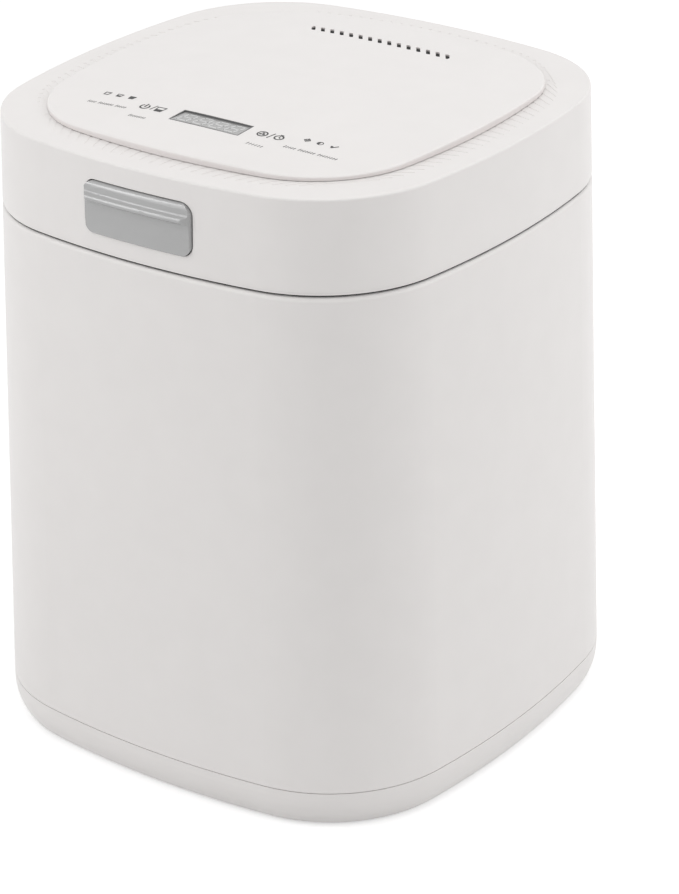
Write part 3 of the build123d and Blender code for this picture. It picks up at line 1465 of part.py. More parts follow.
with BuildPart() as latch_key:
    stock = Plane(origin=(0, bow_centre, 0), x_dir=(-sin(key_half_arc), -cos(key_half_arc), 0),
                  z_dir=(-cos(key_half_arc), sin(key_half_arc), 0))
    flat = side_bow + latch_proud
    crest = side_bow + ridge_proud
    ridge_foot = ridge_height - ridge_radius - ridge_rise
    ridge_start = (crest - 0.5, ridge_height + 0.8 * ridge_radius)
    valley = (flat + valley_proud, ridge_height + valley_rise)
    with BuildSketch(stock) as profile:
        with BuildLine():
            Polyline((crest - ridge_radius, ridge_height - ridge_radius), (flat, ridge_foot),
                     (flat, latch_low), (side_bow - key_back, latch_low),
                     (side_bow - key_back, latch_high), (flat, latch_high), valley)
            Spline(valley, ridge_start, tangents=((0.0, -1.0), (0.8, -0.6)))
            ThreePointArc(ridge_start, (crest, ridge_height),
                          (crest - ridge_radius, ridge_height - ridge_radius))
        make_face()
        fillet(profile.vertices().group_by(Axis.Y)[0].sort_by(Axis.X)[-1], key_foot_round)
        fillet(profile.vertices().group_by(Axis.Y)[-1].sort_by(Axis.X)[-1], key_top_round)
    revolve(axis=Axis((0, bow_centre, 0), (0, 0, 1)), revolution_arc=degrees(2 * key_half_arc))
    with BuildSketch(Plane.XZ):
        with Locations((0, latch_middle)):
            RectangleRounded(latch_width, latch_high - latch_low, latch_corner)
    extrude(amount=2 * half_width, mode=Mode.INTERSECT)
    with BuildSketch(Plane.XY.offset(latch_low)):
        with Locations((0, -latch_face - ridge_proud)):
            front = Rectangle(latch_width, half_width / 2, align=(Align.CENTER, Align.MIN))
        fillet(front.vertices().group_by(Axis.Y)[0], ridge_end_round)
    extrude(amount=latch_high - latch_low, mode=Mode.INTERSECT)
    # lugs on the pin, and the pad that the hook is fixed to
    plate_back = key_back - latch_face
    for x in (-lug_x, lug_x):
        rod(lug_radius, x - lug_width / 2, x + lug_width / 2, pin_y, latch_pin_height)
        block((x - lug_width / 2, plate_back - wall / 2, latch_pin_height - lug_radius - lug_foot),
              (x + lug_width / 2, pin_y, latch_pin_height + 0.8 * lug_radius))
    block((-hook_width / 2, plate_back - wall / 2, pad_low),
          (hook_width / 2, hook_front, hook_top))
    rod(latch_pin_radius + running, -latch_width / 2, latch_width / 2, pin_y, latch_pin_height,
        Mode.SUBTRACT)
finish(latch_key, "latch_key")

with BuildPart() as latch_hook:
    with BuildSketch(Plane.YZ.offset(-hook_width / 2)):
        with BuildLine():
            Polyline((hook_front, hook_top), (hook_front, hook_low), (hook_back, hook_low),
                     (hook_back + nose_reach, hook_low + 0.6 * nose_height),
                     (hook_back + nose_reach, hook_low + nose_height),
                     (hook_back, hook_low + nose_height), (hook_back, hook_top), close=True)
        make_face()
    extrude(amount=hook_width)
    # rivets that hold it to the key
    with BuildSketch(Plane.XZ.offset(-hook_back)):
        with Locations((0, pad_low + rivet_edge), (0, hook_top - rivet_edge)):
            Circle(rivet_radius)
    extrude(amount=-rivet_height)
finish(latch_hook, "latch_hook")

with BuildPart() as latch_bezel:
    low = latch_low - latch_gap
    high = latch_high + latch_gap
    block((-bezel_half - bezel_wall, -half_width, low - bezel_wall),
          (bezel_half + bezel_wall, bezel_back, high + bezel_wall))
    add(lid_inside.part, mode=Mode.INTERSECT)
    block((-bezel_half, -half_width, low), (bezel_half, bezel_back - bezel_wall, high),
          Mode.SUBTRACT)
    block((-hook_slot_half, -half_width, low - bezel_wall),
          (hook_slot_half, hook_back + nose_reach + cut_past, low), Mode.SUBTRACT)
    rod(latch_pin_radius, -bezel_half - bezel_wall, bezel_half + bezel_wall, pin_y,
        latch_pin_height, Mode.SUBTRACT)
finish(latch_bezel, "latch_bezel")

with BuildPart() as latch_pin:
    rod(latch_pin_radius, -bezel_half - bezel_wall, bezel_half + bezel_wall, pin_y,
        latch_pin_height)
finish(latch_pin, "latch_pin")

spring_coil = latch_pin_radius + spring_gap + spring_wire
spring_pitch = 1.8 * spring_wire
spring_leg = latch_pin_height - latch_low - spring_foot
leg_offset = spring_coil - contact_gap  # the legs' distance from the pin's axis
leg_slack = 0.02
leg_wire = spring_wire - leg_slack

with BuildPart() as latch_spring:
    with BuildSketch(Plane.XY.offset(latch_pin_height)):
        with Locations((0, pin_y + spring_coil)):
            with GridLocations(spring_pitch, 0, spring_turns, 1):
                Circle(spring_wire)
    revolve(axis=Axis((0, pin_y, latch_pin_height), (1, 0, 0)))
    # one leg bears on the hook's rivets, the other on the back of the bezel
    tube(leg_wire, 0, latch_pin_height - spring_leg, latch_pin_height,
         ((0, pin_y + leg_offset),))
    wall_holes([(0, latch_pin_height + leg_offset)], leg_wire, bezel_back - bezel_wall,
               bezel_back - bezel_wall - pin_y, Mode.ADD)
finish(latch_spring, "latch_spring")
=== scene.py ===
"""Looks of the food waste composter: surfaces, printed marks, light and camera around its frame.

Metres throughout, except that the pieces added here to the lid (marks, digits, lining, and the
painted shade of vent screens and seam strip) are built in millimetres and scaled as finished.
"""

import json
import math

import bpy
from mathutils import Matrix, Vector


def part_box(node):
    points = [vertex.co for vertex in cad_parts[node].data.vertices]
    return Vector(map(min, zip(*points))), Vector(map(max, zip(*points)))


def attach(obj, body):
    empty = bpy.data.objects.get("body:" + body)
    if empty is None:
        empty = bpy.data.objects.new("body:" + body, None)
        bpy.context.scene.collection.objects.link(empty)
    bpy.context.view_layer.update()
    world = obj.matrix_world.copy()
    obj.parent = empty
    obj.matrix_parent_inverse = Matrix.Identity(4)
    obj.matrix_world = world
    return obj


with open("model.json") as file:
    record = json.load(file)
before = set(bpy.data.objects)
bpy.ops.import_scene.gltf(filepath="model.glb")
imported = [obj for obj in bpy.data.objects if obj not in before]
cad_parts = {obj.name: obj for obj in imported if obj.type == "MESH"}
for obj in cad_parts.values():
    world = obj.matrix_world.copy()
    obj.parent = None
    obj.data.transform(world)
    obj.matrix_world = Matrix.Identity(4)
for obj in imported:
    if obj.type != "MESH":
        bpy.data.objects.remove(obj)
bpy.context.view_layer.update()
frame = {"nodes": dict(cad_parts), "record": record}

MM = 0.001

# ---------------------------------------------------------------- surfaces
COAT_ROUGHNESS = 0.12
BLOTCH_SCALE = 60.0
BLOTCH_DETAIL, GRAIN_DETAIL = 4.0, 2.0
TONE_START, TONE_END = 0.3, 0.7  # the part of the slow noise over which the colour changes


def surface(name, dark, light, rough, spread=0.05, grain=900.0, height=8e-6, metallic=0.0,
            coat=0.0, specular=0.5, streak=None):
    """A node material whose colour, roughness and fine relief all vary over the surface.

    dark and light are the two ends of its colour, and spread is how far its roughness goes to each
    side of rough. grain is the scale of its fine variation and height the relief's depth, and
    streak scales the place along each axis, for a brushed look.
    """
    mat = bpy.data.materials.new(name)
    mat.use_nodes = True
    nodes, links = mat.node_tree.nodes, mat.node_tree.links
    shader = nodes["Principled BSDF"]
    shader.inputs["Metallic"].default_value = metallic
    shader.inputs["Specular IOR Level"].default_value = specular
    shader.inputs["Coat Weight"].default_value = coat
    shader.inputs["Coat Roughness"].default_value = COAT_ROUGHNESS
    place = nodes.new("ShaderNodeTexCoord").outputs["Object"]
    if streak:
        stretch = nodes.new("ShaderNodeMapping")
        stretch.inputs["Scale"].default_value = streak
        links.new(place, stretch.inputs["Vector"])
        place = stretch.outputs["Vector"]
    slow = nodes.new("ShaderNodeTexNoise")
    slow.inputs["Scale"].default_value = BLOTCH_SCALE
    slow.inputs["Detail"].default_value = BLOTCH_DETAIL
    fine = nodes.new("ShaderNodeTexNoise")
    fine.inputs["Scale"].default_value = grain
    fine.inputs["Detail"].default_value = GRAIN_DETAIL
    for noise in (slow, fine):
        links.new(place, noise.inputs["Vector"])
    tone = nodes.new("ShaderNodeValToRGB")
    ends = ((TONE_START, dark), (TONE_END, light))
    for stop, (position, colour) in zip(tone.color_ramp.elements, ends):
        stop.position = position
        stop.color = (*colour, 1)
    links.new(slow.outputs["Fac"], tone.inputs["Fac"])
    links.new(tone.outputs["Color"], shader.inputs["Base Color"])
    gloss = nodes.new("ShaderNodeMapRange")
    gloss.inputs["To Min"].default_value = rough - spread
    gloss.inputs["To Max"].default_value = rough + spread
    links.new(fine.outputs["Fac"], gloss.inputs["Value"])
    links.new(gloss.outputs["Result"], shader.inputs["Roughness"])
    relief = nodes.new("ShaderNodeBump")
    relief.inputs["Distance"].default_value = height
    links.new(fine.outputs["Fac"], relief.inputs["Height"])
    links.new(relief.outputs["Normal"], shader.inputs["Normal"])
    return mat


def paint_facing_shade(mat, shade, none, full):
    """Paint shade into a material's colour, multiplying it by a shade by how far it faces up.

    none and full are the upward shares of the surface's direction between which it sets in.
    """
    nodes, links = mat.node_tree.nodes, mat.node_tree.links
    base = nodes["Principled BSDF"].inputs["Base Color"]
    axes = nodes.new("ShaderNodeSeparateXYZ")
    links.new(nodes.new("ShaderNodeTexCoord").outputs["Normal"], axes.inputs["Vector"])
    share = nodes.new("ShaderNodeMapRange")
    share.inputs["From Min"].default_value = none
    share.inputs["From Max"].default_value = full
    links.new(axes.outputs["Z"], share.inputs["Value"])
    shade_mix = nodes.new("ShaderNodeMix")
    shade_mix.data_type = "RGBA"
    shade_mix.blend_type = "MULTIPLY"
    for socket in shade_mix.inputs:
        if socket.name == "A" and socket.type == "RGBA":
            links.new(base.links[0].from_socket, socket)
        elif socket.name == "B" and socket.type == "RGBA":
            socket.default_value = (*shade, 1)
        elif socket.name == "Factor" and socket.enabled:
            links.new(share.outputs["Result"], socket)
    links.new([o for o in shade_mix.outputs if o.type == "RGBA"][0], base)


def grey(value, warmth=0.0):
    """A nearly neutral colour; warmth moves it from blue towards red."""
    return (value * (1 + warmth), value, value * (1 - warmth))


def white_plastic(name):
    """The casing's warm white."""
    return surface(name, (0.814, 0.790, 0.777), (0.828, 0.804, 0.791), 0.36, specular=0.3)


SURFACES = {
    "warm_white_plastic": white_plastic("warm_white_plastic"),
    "latch_grey_plastic": surface("latch_grey_plastic", grey(0.350), grey(0.365), 0.26,
                                  spread=0.015, height=1e-6, coat=0.6, specular=1.0),
    "dark_grey_plastic": surface("dark_grey_plastic", grey(0.030), grey(0.038), 0.5),
    "black_plastic": surface("black_plastic", grey(0.012), grey(0.018), 0.45, coat=0.1),
    "black_rubber": surface("black_rubber", grey(0.014), grey(0.022), 0.75, grain=1500.0,
                            height=2e-5),
    "screw_steel": surface("screw_steel", grey(0.50), grey(0.60), 0.3, metallic=1.0,
                           streak=(1.0, 1.0, 12.0)),
    "sheet_steel": surface("sheet_steel", grey(0.52), grey(0.62), 0.32, metallic=1.0,
                           streak=(1.0, 1.0, 0.05)),
    "bucket_coating": surface("bucket_coating", grey(0.020), grey(0.030), 0.42, grain=1400.0,
                              height=1.5e-5, metallic=0.3),
    "blade_steel": surface("blade_steel", grey(0.48), grey(0.60), 0.28, metallic=1.0,
                           streak=(0.1, 1.0, 1.0)),
    "cast_aluminium": surface("cast_aluminium", grey(0.50), grey(0.62), 0.5, grain=1100.0,
                              height=4e-5, metallic=1.0),
    "gear_nylon": surface("gear_nylon", (0.60, 0.57, 0.48), (0.66, 0.63, 0.54), 0.45),
    "bush_bronze": surface("bush_bronze", (0.42, 0.27, 0.10), (0.52, 0.35, 0.15), 0.4,
                           metallic=1.0),
    "board_green": surface("board_green", (0.012, 0.09, 0.035), (0.02, 0.12, 0.05), 0.4,
                           coat=0.3),
    "display_grey": surface("display_grey", grey(0.330, 0.01), grey(0.350, 0.01), 0.16,
                            spread=0.02, height=1e-6, coat=0.4),
}
PRINT_INK = surface("print_ink", grey(0.035), grey(0.05), 0.55)
BEZEL_GREY = surface("bezel_grey", grey(0.10), grey(0.13), 0.5)
SEGMENT_INK = surface("segment_ink", grey(0.60), grey(0.64), 0.3, height=1e-6)
# painted shade: the black inside the panel's vents
VENT_SHADE_BLACK = surface("vent_shade_black", grey(0.010), grey(0.016), 0.8, grain=2500.0, height=5e-5)

# painted shade: the panel's colour darkens, a little pink, down its rounded edge
PANEL_PAINTED_SHADE = white_plastic("panel_painted_shade")
paint_facing_shade(PANEL_PAINTED_SHADE, (0.885, 0.865, 0.865), none=0.75, full=0.35)
# painted shade: the key's colour darkens where it faces the floor, under its ridge
paint_facing_shade(SURFACES["latch_grey_plastic"], grey(0.66), none=-0.15, full=-0.5)

slot_of = {part["node"]: part["material_slot"] for part in frame["record"]["subparts"]}
for name, node in frame["nodes"].items():
    node.data.materials.clear()
    node.data.materials.append(PANEL_PAINTED_SHADE if name == "top_panel" else SURFACES[slot_of[name]])

# ---------------------------------------------------------------- the panel's face
DOME_RADIUS = 1250.0  # the panel's dome in part.py
panel_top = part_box("top_panel")[1].z / MM
lens_low, lens_high = (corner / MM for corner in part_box("display_lens"))
INK_LIFT = 0.03  # the print's thickness above what carries it
ARC_STEPS, DOT_STEPS = 28, 10


def on_dome(x, y):
    """A point just above the panel's domed face."""
    drop = DOME_RADIUS - math.sqrt(DOME_RADIUS**2 - x * x - y * y)
    return Vector((x, y, panel_top - drop + INK_LIFT))


def on_lens(x, y):
    """A point just above the display's flat lens."""
    return Vector((x, y, lens_high.z + INK_LIFT))


def around(centre, radius, start, end, steps):
    """Points along a circle, from one angle to another."""
    turn = [math.radians(start + (end - start) * n / steps) for n in range(steps + 1)]
    return [(centre[0] + radius * math.cos(t), centre[1] + radius * math.sin(t)) for t in turn]


class Piece:
    """Faces built in millimetres and gathered into one mesh that rides on a body."""

    faces_up = False

    def __init__(self):
        self.points = []
        self.faces = []

    def finish(self, name, mat, body, slot):
        mesh = bpy.data.meshes.new(name)
        mesh.from_pydata([p * MM for p in self.points], [], self.faces)
        obj = bpy.data.objects.new(name, mesh)
        bpy.context.collection.objects.link(obj)
        for face in mesh.polygons:
            if self.faces_up and face.normal.z < 0:
                face.flip()
        mesh.materials.append(mat)
        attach(obj, body)


class Print(Piece):
    """Flat shapes laid on a face of the part."""

    faces_up = True

    def __init__(self, place):
        super().__init__()
        self.place = place

    def shape(self, outline):
        start = len(self.points)
        self.points += [self.place(x, y) for x, y in outline]
        self.faces.append(list(range(start, len(self.points))))

    def line(self, a, b, width):
        """A straight stroke with square ends."""
        along = Vector((b[0] - a[0], b[1] - a[1])).normalized() * (width / 2)
        side = Vector((-along.y, along.x))
        a, b = Vector(a) - along, Vector(b) + along
        self.shape([a + side, a - side, b - side, b + side])

    def path(self, points, width, closed=False):
        """Straight strokes from point to point."""
        ends = points[1:] + points[:1] if closed else points[1:]
        for a, b in zip(points, ends):
            self.line(a, b, width)

    def arc(self, centre, radius, width, start=0.0, end=360.0):
        """A stroke along a circle, from one angle to another."""
        inner = around(centre, radius - width / 2, start, end, ARC_STEPS)
        outer = around(centre, radius + width / 2, start, end, ARC_STEPS)
        for n in range(ARC_STEPS):
            self.shape([inner[n], inner[n + 1], outer[n + 1], outer[n]])

    def disc(self, centre, radius, start=0.0, end=360.0, steps=DOT_STEPS):
        """A filled circle, or the part of it between two angles."""
        self.shape(around(centre, radius, start, end, steps))


# ---------------------------------------------------------------- marks beside the display
BOLD, HEAVY, FINE, THIN, HAIR = 0.85, 0.75, 0.6, 0.5, 0.45  # widths of strokes
BIN_FOOT, BIN_MOUTH = 0.36, 0.5  # half widths of a bin, as shares of its width


def bin_icon(ink, at, width, height, fill):
    """A bin seen from the side, filled up to a share of its height."""
    x, y = at
    foot, mouth = BIN_FOOT * width, BIN_MOUTH * width
    corners = [(x - mouth, y + height / 2), (x - foot, y - height / 2),
               (x + foot, y - height / 2), (x + mouth, y + height / 2)]
    ink.path(corners, FINE, closed=True)
    if fill == 1:
        ink.shape(corners)
    elif fill:
        half = foot + (mouth - foot) * fill
        level = y - height / 2 + height * fill
        ink.shape([(x - half, level), corners[1], corners[2], (x + half, level)])


TICK_WIDTH, TICK_LEAN, TICK_DROP = 0.48, 0.2, 0.6  # the lean is to each side of the middle
FIRST_TICK, OTHER_TICK = 1.6, 1.2  # heights; the first of a group stands for a capital


def ticks(ink, left, right, y, groups, rise=0.0):
    """Groups of short slanted ticks between two places, a stand-in for a caption."""
    total = sum(groups) + len(groups) - 1
    pitch = (right - left) / total
    place = 0
    for count in groups:
        for number in range(count):
            x = left + pitch * (place + 0.5)
            low = y + rise * place / total - TICK_DROP
            tall = OTHER_TICK if number else FIRST_TICK
            ink.line((x - TICK_LEAN, low), (x + TICK_LEAN, low + tall), TICK_WIDTH)
            place += 1
        place += 1


# three small bins; then the power mark, a slash and a half full bin
SMALL_BINS, SMALL_BIN_PITCH = (-64.5, -58.7), 7.15
POWER, POWER_TOP = (-37.8, -64.8), (-37.8, -62.1)
marks = Print(on_dome)
for number, fill in enumerate((0, 0.5, 1)):
    bin_icon(marks, (SMALL_BINS[0] + SMALL_BIN_PITCH * number, SMALL_BINS[1]), 3.0, 2.5, fill)
marks.arc(POWER, 2.2, BOLD, start=125, end=415)
marks.line(POWER, POWER_TOP, BOLD)
marks.line((-33.6, -66.4), (-32.7, -61.9), FINE)
bin_icon(marks, (-29.2, -64.8), 4.6, 4.4, 0.5)

# a fan in a ring, a slash, and a clock with its button
FAN, FAN_BLADE_REACH, FAN_BLADE = (28.2, -64.4), 0.95, 0.72
CLOCK = (36.9, -64.0)
marks.arc(FAN, 2.35, HEAVY)
for hub in around(FAN, FAN_BLADE_REACH, 90, 330, 2):
    marks.disc(hub, FAN_BLADE)
marks.line((32.2, -66.6), (33.2, -61.6), FINE)
marks.arc(CLOCK, 2.1, HEAVY)
marks.path([(36.9, -62.8), CLOCK, (37.8, -64.5)], THIN)
marks.line((36.3, -61.2), (37.5, -61.2), FINE)

# the three mode marks: a ringed cross, a half moon, and a tick with a dot
CROSS, MOON = (48.9, -59.1), (55.6, -58.8)
marks.arc(CROSS, 1.2, THIN)
marks.line((48.9, -60.7), (48.9, -57.5), THIN)
marks.line((47.3, -59.1), (50.5, -59.1), THIN)
marks.disc(MOON, 1.6, start=90, end=270, steps=12)
marks.arc(MOON, 1.4, HAIR)
marks.path([(61.4, -58.3), (62.2, -59.6), (64.1, -57.2)], HEAVY)
marks.disc((62.0, -58.9), 0.8)
marks.finish("panel_marks", PRINT_INK, "lid", "dark_grey_plastic")

# captions: left end, right end, height on the panel and letters in each word
captions = Print(on_dome)
ticks(captions, -67.1, -44.8, -69.9, (4, 7, 5))
ticks(captions, -38.2, -28.6, -76.2, (8,))
ticks(captions, 27.7, 37.0, -76.0, (6,))
ticks(captions, 43.9, 71.5, -70.1, (5, 7, 8), rise=1.8)
captions.finish("panel_ticks", PRINT_INK, "lid", "dark_grey_plastic")

# ---------------------------------------------------------------- the display's digits
DIGIT_COUNT, DIGIT_PITCH = 4, 8.8
DIGIT_WIDTH, DIGIT_HEIGHT, DIGIT_SLANT = 5.5, 7.4, 0.3
SEGMENT_WIDTH, SEGMENT_GAP = 1.0, 0.55
COLON_LEVELS, COLON_DOT = (0.3, 0.7), 0.5  # heights as shares of a digit's, and a dot's radius


def slanted(x, y, foot):
    """A place moved right by how far it lies above the digits' foot."""
    return (x + DIGIT_SLANT * (y - foot), y)


def digit(ink, left, foot):
    """All seven segments of one slanted digit."""
    top, middle = foot + DIGIT_HEIGHT, foot + DIGIT_HEIGHT / 2
    right = left + DIGIT_WIDTH
    for level in (foot, middle, top):
        ink.line(slanted(left + SEGMENT_GAP, level, foot),
                 slanted(right - SEGMENT_GAP, level, foot), SEGMENT_WIDTH)
    for x in (left, right):
        for low, high in ((foot, middle), (middle, top)):
            ink.line(slanted(x, low + SEGMENT_GAP, foot),
                     slanted(x, high - SEGMENT_GAP, foot), SEGMENT_WIDTH)


lens_middle = (lens_low + lens_high) / 2
digits = Print(on_lens)
digit_foot = lens_middle.y - DIGIT_HEIGHT / 2
half_row = (DIGIT_COUNT - 1) / 2 * DIGIT_PITCH
first_digit = lens_middle.x - half_row - DIGIT_WIDTH / 2 - DIGIT_SLANT * DIGIT_HEIGHT / 2
for number in range(DIGIT_COUNT):
    digit(digits, first_digit + number * DIGIT_PITCH, digit_foot)
colon = first_digit + half_row + DIGIT_WIDTH / 2
for level in COLON_LEVELS:
    digits.disc(slanted(colon, digit_foot + level * DIGIT_HEIGHT, digit_foot), COLON_DOT)
digits.finish("display_digits", SEGMENT_INK, "lid", "display_grey")

# ---------------------------------------------------------------- display frame and vent screens


class Solid(Piece):
    """Closed thin solids, each between two surfaces."""

    def prism(self, outline, top, bottom):
        """A solid over an outline; top and bottom give its height over a place."""
        start, count = len(self.points), len(outline)
        self.points += [Vector((x, y, top(x, y))) for x, y in outline]
        self.points += [Vector((x, y, bottom(x, y))) for x, y in outline]
        self.faces.append([start + n for n in range(count)])
        self.faces.append([start + count + n for n in reversed(range(count))])
        for n in range(count):
            after = (n + 1) % count
            self.faces.append([start + after, start + n, start + count + n,
                               start + count + after])


def below_dome(depth):
    """The height a given depth under the panel's face, as a function of the place."""
    return lambda x, y: on_dome(x, y).z - INK_LIFT - depth


# a dark lining around the display's recess, standing on the lens
LINING = 0.5
LINING_GAP, LINING_SINK = 0.04, 0.03  # inside the recess, and below the panel's face
LINING_STEP = 3.0  # about how far apart its points lie, so that it follows the dome
frame_low = (lens_low.x + LINING_GAP, lens_low.y + LINING_GAP)
frame_high = (lens_high.x - LINING_GAP, lens_high.y - LINING_GAP)
lining = Solid()
bars = [
    (frame_low, (frame_high[0], frame_low[1] + LINING)),
    ((frame_low[0], frame_high[1] - LINING), frame_high),
    ((frame_low[0], frame_low[1] + LINING), (frame_low[0] + LINING, frame_high[1] - LINING)),
    ((frame_high[0] - LINING, frame_low[1] + LINING), (frame_high[0], frame_high[1] - LINING)),
]
for low, high in bars:
    parts = max(1, round((high[0] - low[0]) / LINING_STEP))
    edges = [low[0] + (high[0] - low[0]) * n / parts for n in range(parts + 1)]
    outline = [(x, low[1]) for x in edges] + [(x, high[1]) for x in reversed(edges)]
    lining.prism(outline, below_dome(LINING_SINK), lambda x, y: lens_high.z)
lining.finish("display_lining", BEZEL_GREY, "lid", "dark_grey_plastic")

# painted shade: a dark screen inside each slanted vent, and a black sheet under them all
VENT_COUNT, VENT_PITCH, VENT_MIDDLE = 15, 5.54, (-1.5, 68.0)  # the vents' sizes are part.py's
VENT_WIDTH, VENT_REACH, VENT_SLANT = 1.9, 6.0, math.radians(35)
SCREEN_GAP = 0.03  # between a screen and its vent's side
VENT_HALF_WIDTH = VENT_WIDTH / 2 / math.cos(VENT_SLANT) - SCREEN_GAP
VENT_HALF_REACH, VENT_LEAN = VENT_REACH / 2 - SCREEN_GAP, math.tan(VENT_SLANT)
SCREEN_DEPTH, SHEET_TOP, SHEET_BOTTOM = 0.8, 2.2, 2.5  # all below the panel's face
SHEET_MARGIN = 3.0
screens = Solid()
for number in range(VENT_COUNT):
    middle = VENT_MIDDLE[0] + (number - (VENT_COUNT - 1) / 2) * VENT_PITCH
    outline = []
    for side, end in ((-1, -1), (1, -1), (1, 1), (-1, 1)):
        reach = end * VENT_HALF_REACH
        outline.append((middle + side * VENT_HALF_WIDTH - reach * VENT_LEAN,
                        VENT_MIDDLE[1] + reach))
    screens.prism(outline, below_dome(SCREEN_DEPTH), below_dome(SHEET_TOP))
row_half = (VENT_COUNT / 2) * VENT_PITCH + SHEET_MARGIN
sheet_half = VENT_HALF_REACH + SHEET_MARGIN
steps = 2 * VENT_COUNT
edges = [VENT_MIDDLE[0] - row_half + 2 * row_half * n / steps for n in range(steps + 1)]
for left, right in zip(edges, edges[1:]):
    screens.prism([(left, VENT_MIDDLE[1] - sheet_half), (right, VENT_MIDDLE[1] - sheet_half),
                   (right, VENT_MIDDLE[1] + sheet_half), (left, VENT_MIDDLE[1] + sheet_half)],
                  below_dome(SHEET_TOP), below_dome(SHEET_BOTTOM))
screens.finish("vent_shade_screens", VENT_SHADE_BLACK, "lid", "dark_grey_plastic")

# ---------------------------------------------------------------- painted shade in the seam under the lid's lower edge
CORNER_SHARE, SIDE_SHARE = 0.5375, 3.518  # the section's two radii, as shares of its half width
STRIP_OUTER, STRIP_INNER = 0.75, 1.35  # how far inside the lid's side its two faces are
STRIP_HEIGHT = 0.65
OUTLINE_STEPS = 12
HINGE_CLEAR = 48.0  # the strip stops this far to each side of the hinge's middle


def casing_outline(half, inset):
    """Points along the casing's bowed square section, from the middle of the +X side."""
    bow = half * (1 - SIDE_SHARE)
    turn = half * (SIDE_SHARE - CORNER_SHARE)
    corner = (bow + math.sqrt(2 * turn * turn - bow * bow)) / 2
    meet = math.atan2(corner, corner - bow)
    quarter = []
    for number in range(-OUTLINE_STEPS, OUTLINE_STEPS):
        angle = meet * number / OUTLINE_STEPS
        reach = half * SIDE_SHARE - inset
        quarter.append((bow + reach * math.cos(angle), reach * math.sin(angle)))
    for number in range(2 * OUTLINE_STEPS):
        angle = meet + (math.pi / 2 - 2 * meet) * number / (2 * OUTLINE_STEPS)
        reach = half * CORNER_SHARE - inset
        quarter.append((corner + reach * math.cos(angle), corner + reach * math.sin(angle)))
    points = []
    for c, s in ((1, 0), (0, 1), (-1, 0), (0, -1)):
        points += [(x * c - y * s, x * s + y * c) for x, y in quarter]
    return points


lid_low, lid_high = (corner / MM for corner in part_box("lid_ring"))
# painted shade: a black strip in the seam between lid and body, where its shadow falls
seam_shade_strip = Solid()
outer = casing_outline(lid_high.x, STRIP_OUTER)
inner = casing_outline(lid_high.x, STRIP_INNER)
for n in range(len(outer)):
    after = (n + 1) % len(outer)
    if outer[n][1] > 0 and min(abs(outer[n][0]), abs(outer[after][0])) < HINGE_CLEAR:
        continue
    seam_shade_strip.prism([outer[n], outer[after], inner[after], inner[n]],
               lambda x, y: lid_low.z, lambda x, y: lid_low.z - STRIP_HEIGHT)
seam_shade_strip.finish("lid_seam_painted_shade", SURFACES["black_rubber"], "lid", "black_rubber")

# ---------------------------------------------------------------- floor
FLOOR_HALF = 6.0
FLOOR_TONE, FLOOR_GLOW = 0.69, 0.50


def ray_share(nodes, links, kinds):
    """An output that is 1 for rays of these kinds and 0 for all others."""
    path = nodes.new("ShaderNodeLightPath")
    share = path.outputs[kinds[0]]
    for kind in kinds[1:]:
        larger = nodes.new("ShaderNodeMath")
        larger.operation = "MAXIMUM"
        links.new(share, larger.inputs[0])
        links.new(path.outputs[kind], larger.inputs[1])
        share = larger.outputs["Value"]
    return share


def floor_surface():
    """Pale floor that shows white to the camera where it is lit and keeps the shadow."""
    mat = bpy.data.materials.new("pale_floor")
    mat.use_nodes = True
    nodes, links = mat.node_tree.nodes, mat.node_tree.links
    nodes.remove(nodes["Principled BSDF"])
    diffuse = nodes.new("ShaderNodeBsdfDiffuse")
    diffuse.inputs["Color"].default_value = (FLOOR_TONE, FLOOR_TONE, FLOOR_TONE, 1)
    glow = nodes.new("ShaderNodeEmission")
    strength = nodes.new("ShaderNodeMath")
    strength.operation = "MULTIPLY"
    strength.inputs[1].default_value = FLOOR_GLOW
    seen = ray_share(nodes, links, ("Is Camera Ray", "Is Glossy Ray"))
    links.new(seen, strength.inputs[0])
    links.new(strength.outputs["Value"], glow.inputs["Strength"])
    both = nodes.new("ShaderNodeAddShader")
    links.new(diffuse.outputs["BSDF"], both.inputs[0])
    links.new(glow.outputs["Emission"], both.inputs[1])
    links.new(both.outputs["Shader"], nodes["Material Output"].inputs["Surface"])
    return mat


floor_mesh = bpy.data.meshes.new("floor")
floor_mesh.from_pydata([(x * FLOOR_HALF, y * FLOOR_HALF, 0)
                        for x, y in ((-1, -1), (1, -1), (1, 1), (-1, 1))], [], [(0, 1, 2, 3)])
floor = bpy.data.objects.new("floor", floor_mesh)
bpy.context.collection.objects.link(floor)
floor_mesh.materials.append(floor_surface())

# ---------------------------------------------------------------- light
AMBIENT = 0.58
LAMP_AIM = Vector((0, 0, 0.18))
LAMPS = (
    # name, azimuth, elevation, distance, width, height, watts
    ("lamp_left", -24, 20, 1.7, 1.3, 1.3, 5.5),
    ("lamp_right", 108, 20, 1.7, 1.3, 1.3, 8.0),
    ("lamp_high_left", -43, 38, 1.6, 0.3, 1.2, 3.7),
    ("lamp_high_back", 155, 45, 1.6, 0.6, 0.6, 3.0),
    ("lamp_top", 36, 84, 1.6, 0.8, 0.8, 3.2),
)


def white_world():
    """An even world light; camera, mirror and see-through rays meet plain white."""
    world = bpy.data.worlds.new("studio")
    bpy.context.scene.world = world
    world.use_nodes = True
    nodes, links = world.node_tree.nodes, world.node_tree.links
    even = nodes["Background"]
    even.inputs["Color"].default_value = (1, 1, 1, 1)
    even.inputs["Strength"].default_value = AMBIENT
    white = nodes.new("ShaderNodeBackground")
    white.inputs["Color"].default_value = (1, 1, 1, 1)
    seen = ray_share(nodes, links, ("Is Camera Ray", "Is Glossy Ray", "Is Transmission Ray"))
    mix = nodes.new("ShaderNodeMixShader")
    links.new(seen, mix.inputs["Fac"])
    links.new(even.outputs["Background"], mix.inputs[1])
    links.new(white.outputs["Background"], mix.inputs[2])
    links.new(mix.outputs["Shader"], nodes["World Output"].inputs["Surface"])


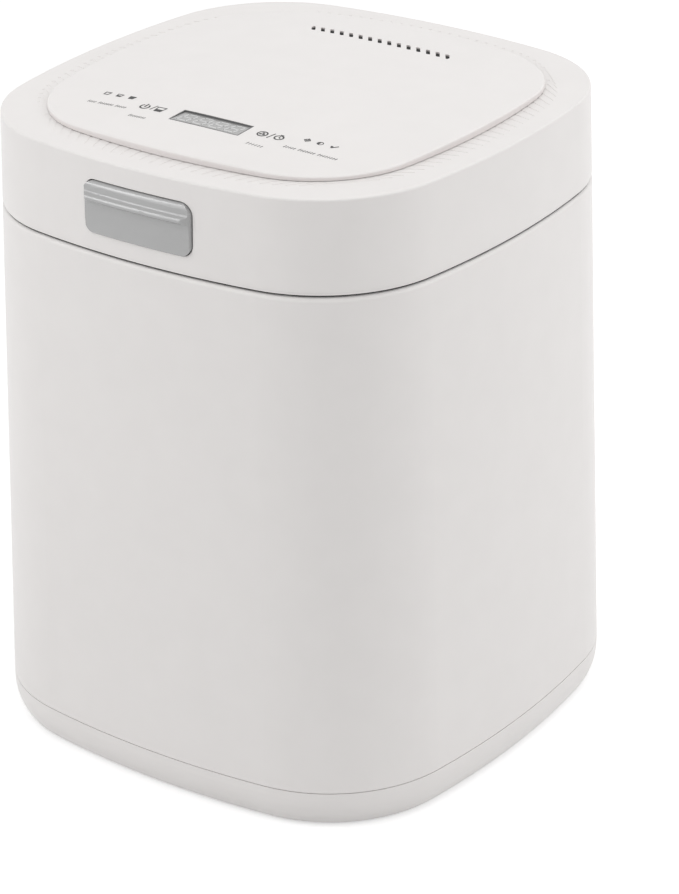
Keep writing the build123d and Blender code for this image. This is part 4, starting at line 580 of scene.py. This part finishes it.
def towards(azimuth, elevation):
    """The direction from the object to a lamp or camera; from azimuth 0 one looks along +Y."""
    a, e = math.radians(azimuth), math.radians(elevation)
    return Vector((math.sin(a) * math.cos(e), -math.cos(a) * math.cos(e), math.sin(e)))


def soft_lamp(name, azimuth, elevation, distance, width, height, watts):
    """A large lamp that faces the object from a direction."""
    back = towards(azimuth, elevation)
    data = bpy.data.lights.new(name, "AREA")
    data.shape = "RECTANGLE"
    data.size = width
    data.size_y = height
    data.energy = watts
    lamp = bpy.data.objects.new(name, data)
    bpy.context.collection.objects.link(lamp)
    lamp.location = LAMP_AIM + back * distance
    lamp.rotation_mode = "QUATERNION"
    lamp.rotation_quaternion = back.to_track_quat("Z", "Y")
    lamp.visible_camera = False


white_world()
for lamp_row in LAMPS:
    soft_lamp(*lamp_row)

# ---------------------------------------------------------------- camera
# fitted to the photo's outline, seams, latch, display and vents
AZIMUTH, ELEVATION, ROLL = 35.970897, 25.44187, -0.7765009
DISTANCE, AIM_HEIGHT = 1.6498185, 0.12131639
SHIFT_RIGHT, SHIFT_UP = 0.01699129, 0.00520473
FOCAL_PIXELS, LONG_SIDE, SENSOR = 3412.1864, 894, 36.0  # pixels, pixels, millimetres
CLIP_END = 40.0

turned, roll = math.radians(AZIMUTH), math.radians(ROLL)
back = towards(AZIMUTH, ELEVATION)
level = Vector((math.cos(turned), math.sin(turned), 0))
upright = back.cross(level)
right = math.cos(roll) * level + math.sin(roll) * upright
up = math.cos(roll) * upright - math.sin(roll) * level
camera_data = bpy.data.cameras.new("camera")
camera_data.sensor_width = SENSOR
camera_data.lens = FOCAL_PIXELS / LONG_SIDE * SENSOR
camera_data.clip_end = CLIP_END
camera = bpy.data.objects.new("camera", camera_data)
bpy.context.collection.objects.link(camera)
place = Vector((0, 0, AIM_HEIGHT)) + right * SHIFT_RIGHT + up * SHIFT_UP + back * DISTANCE
camera.matrix_world = Matrix((
    (right.x, up.x, back.x, place.x),
    (right.y, up.y, back.y, place.y),
    (right.z, up.z, back.z, place.z),
    (0, 0, 0, 1),
))
bpy.context.scene.camera = camera
bpy.context.scene.view_settings.view_transform = "Standard"
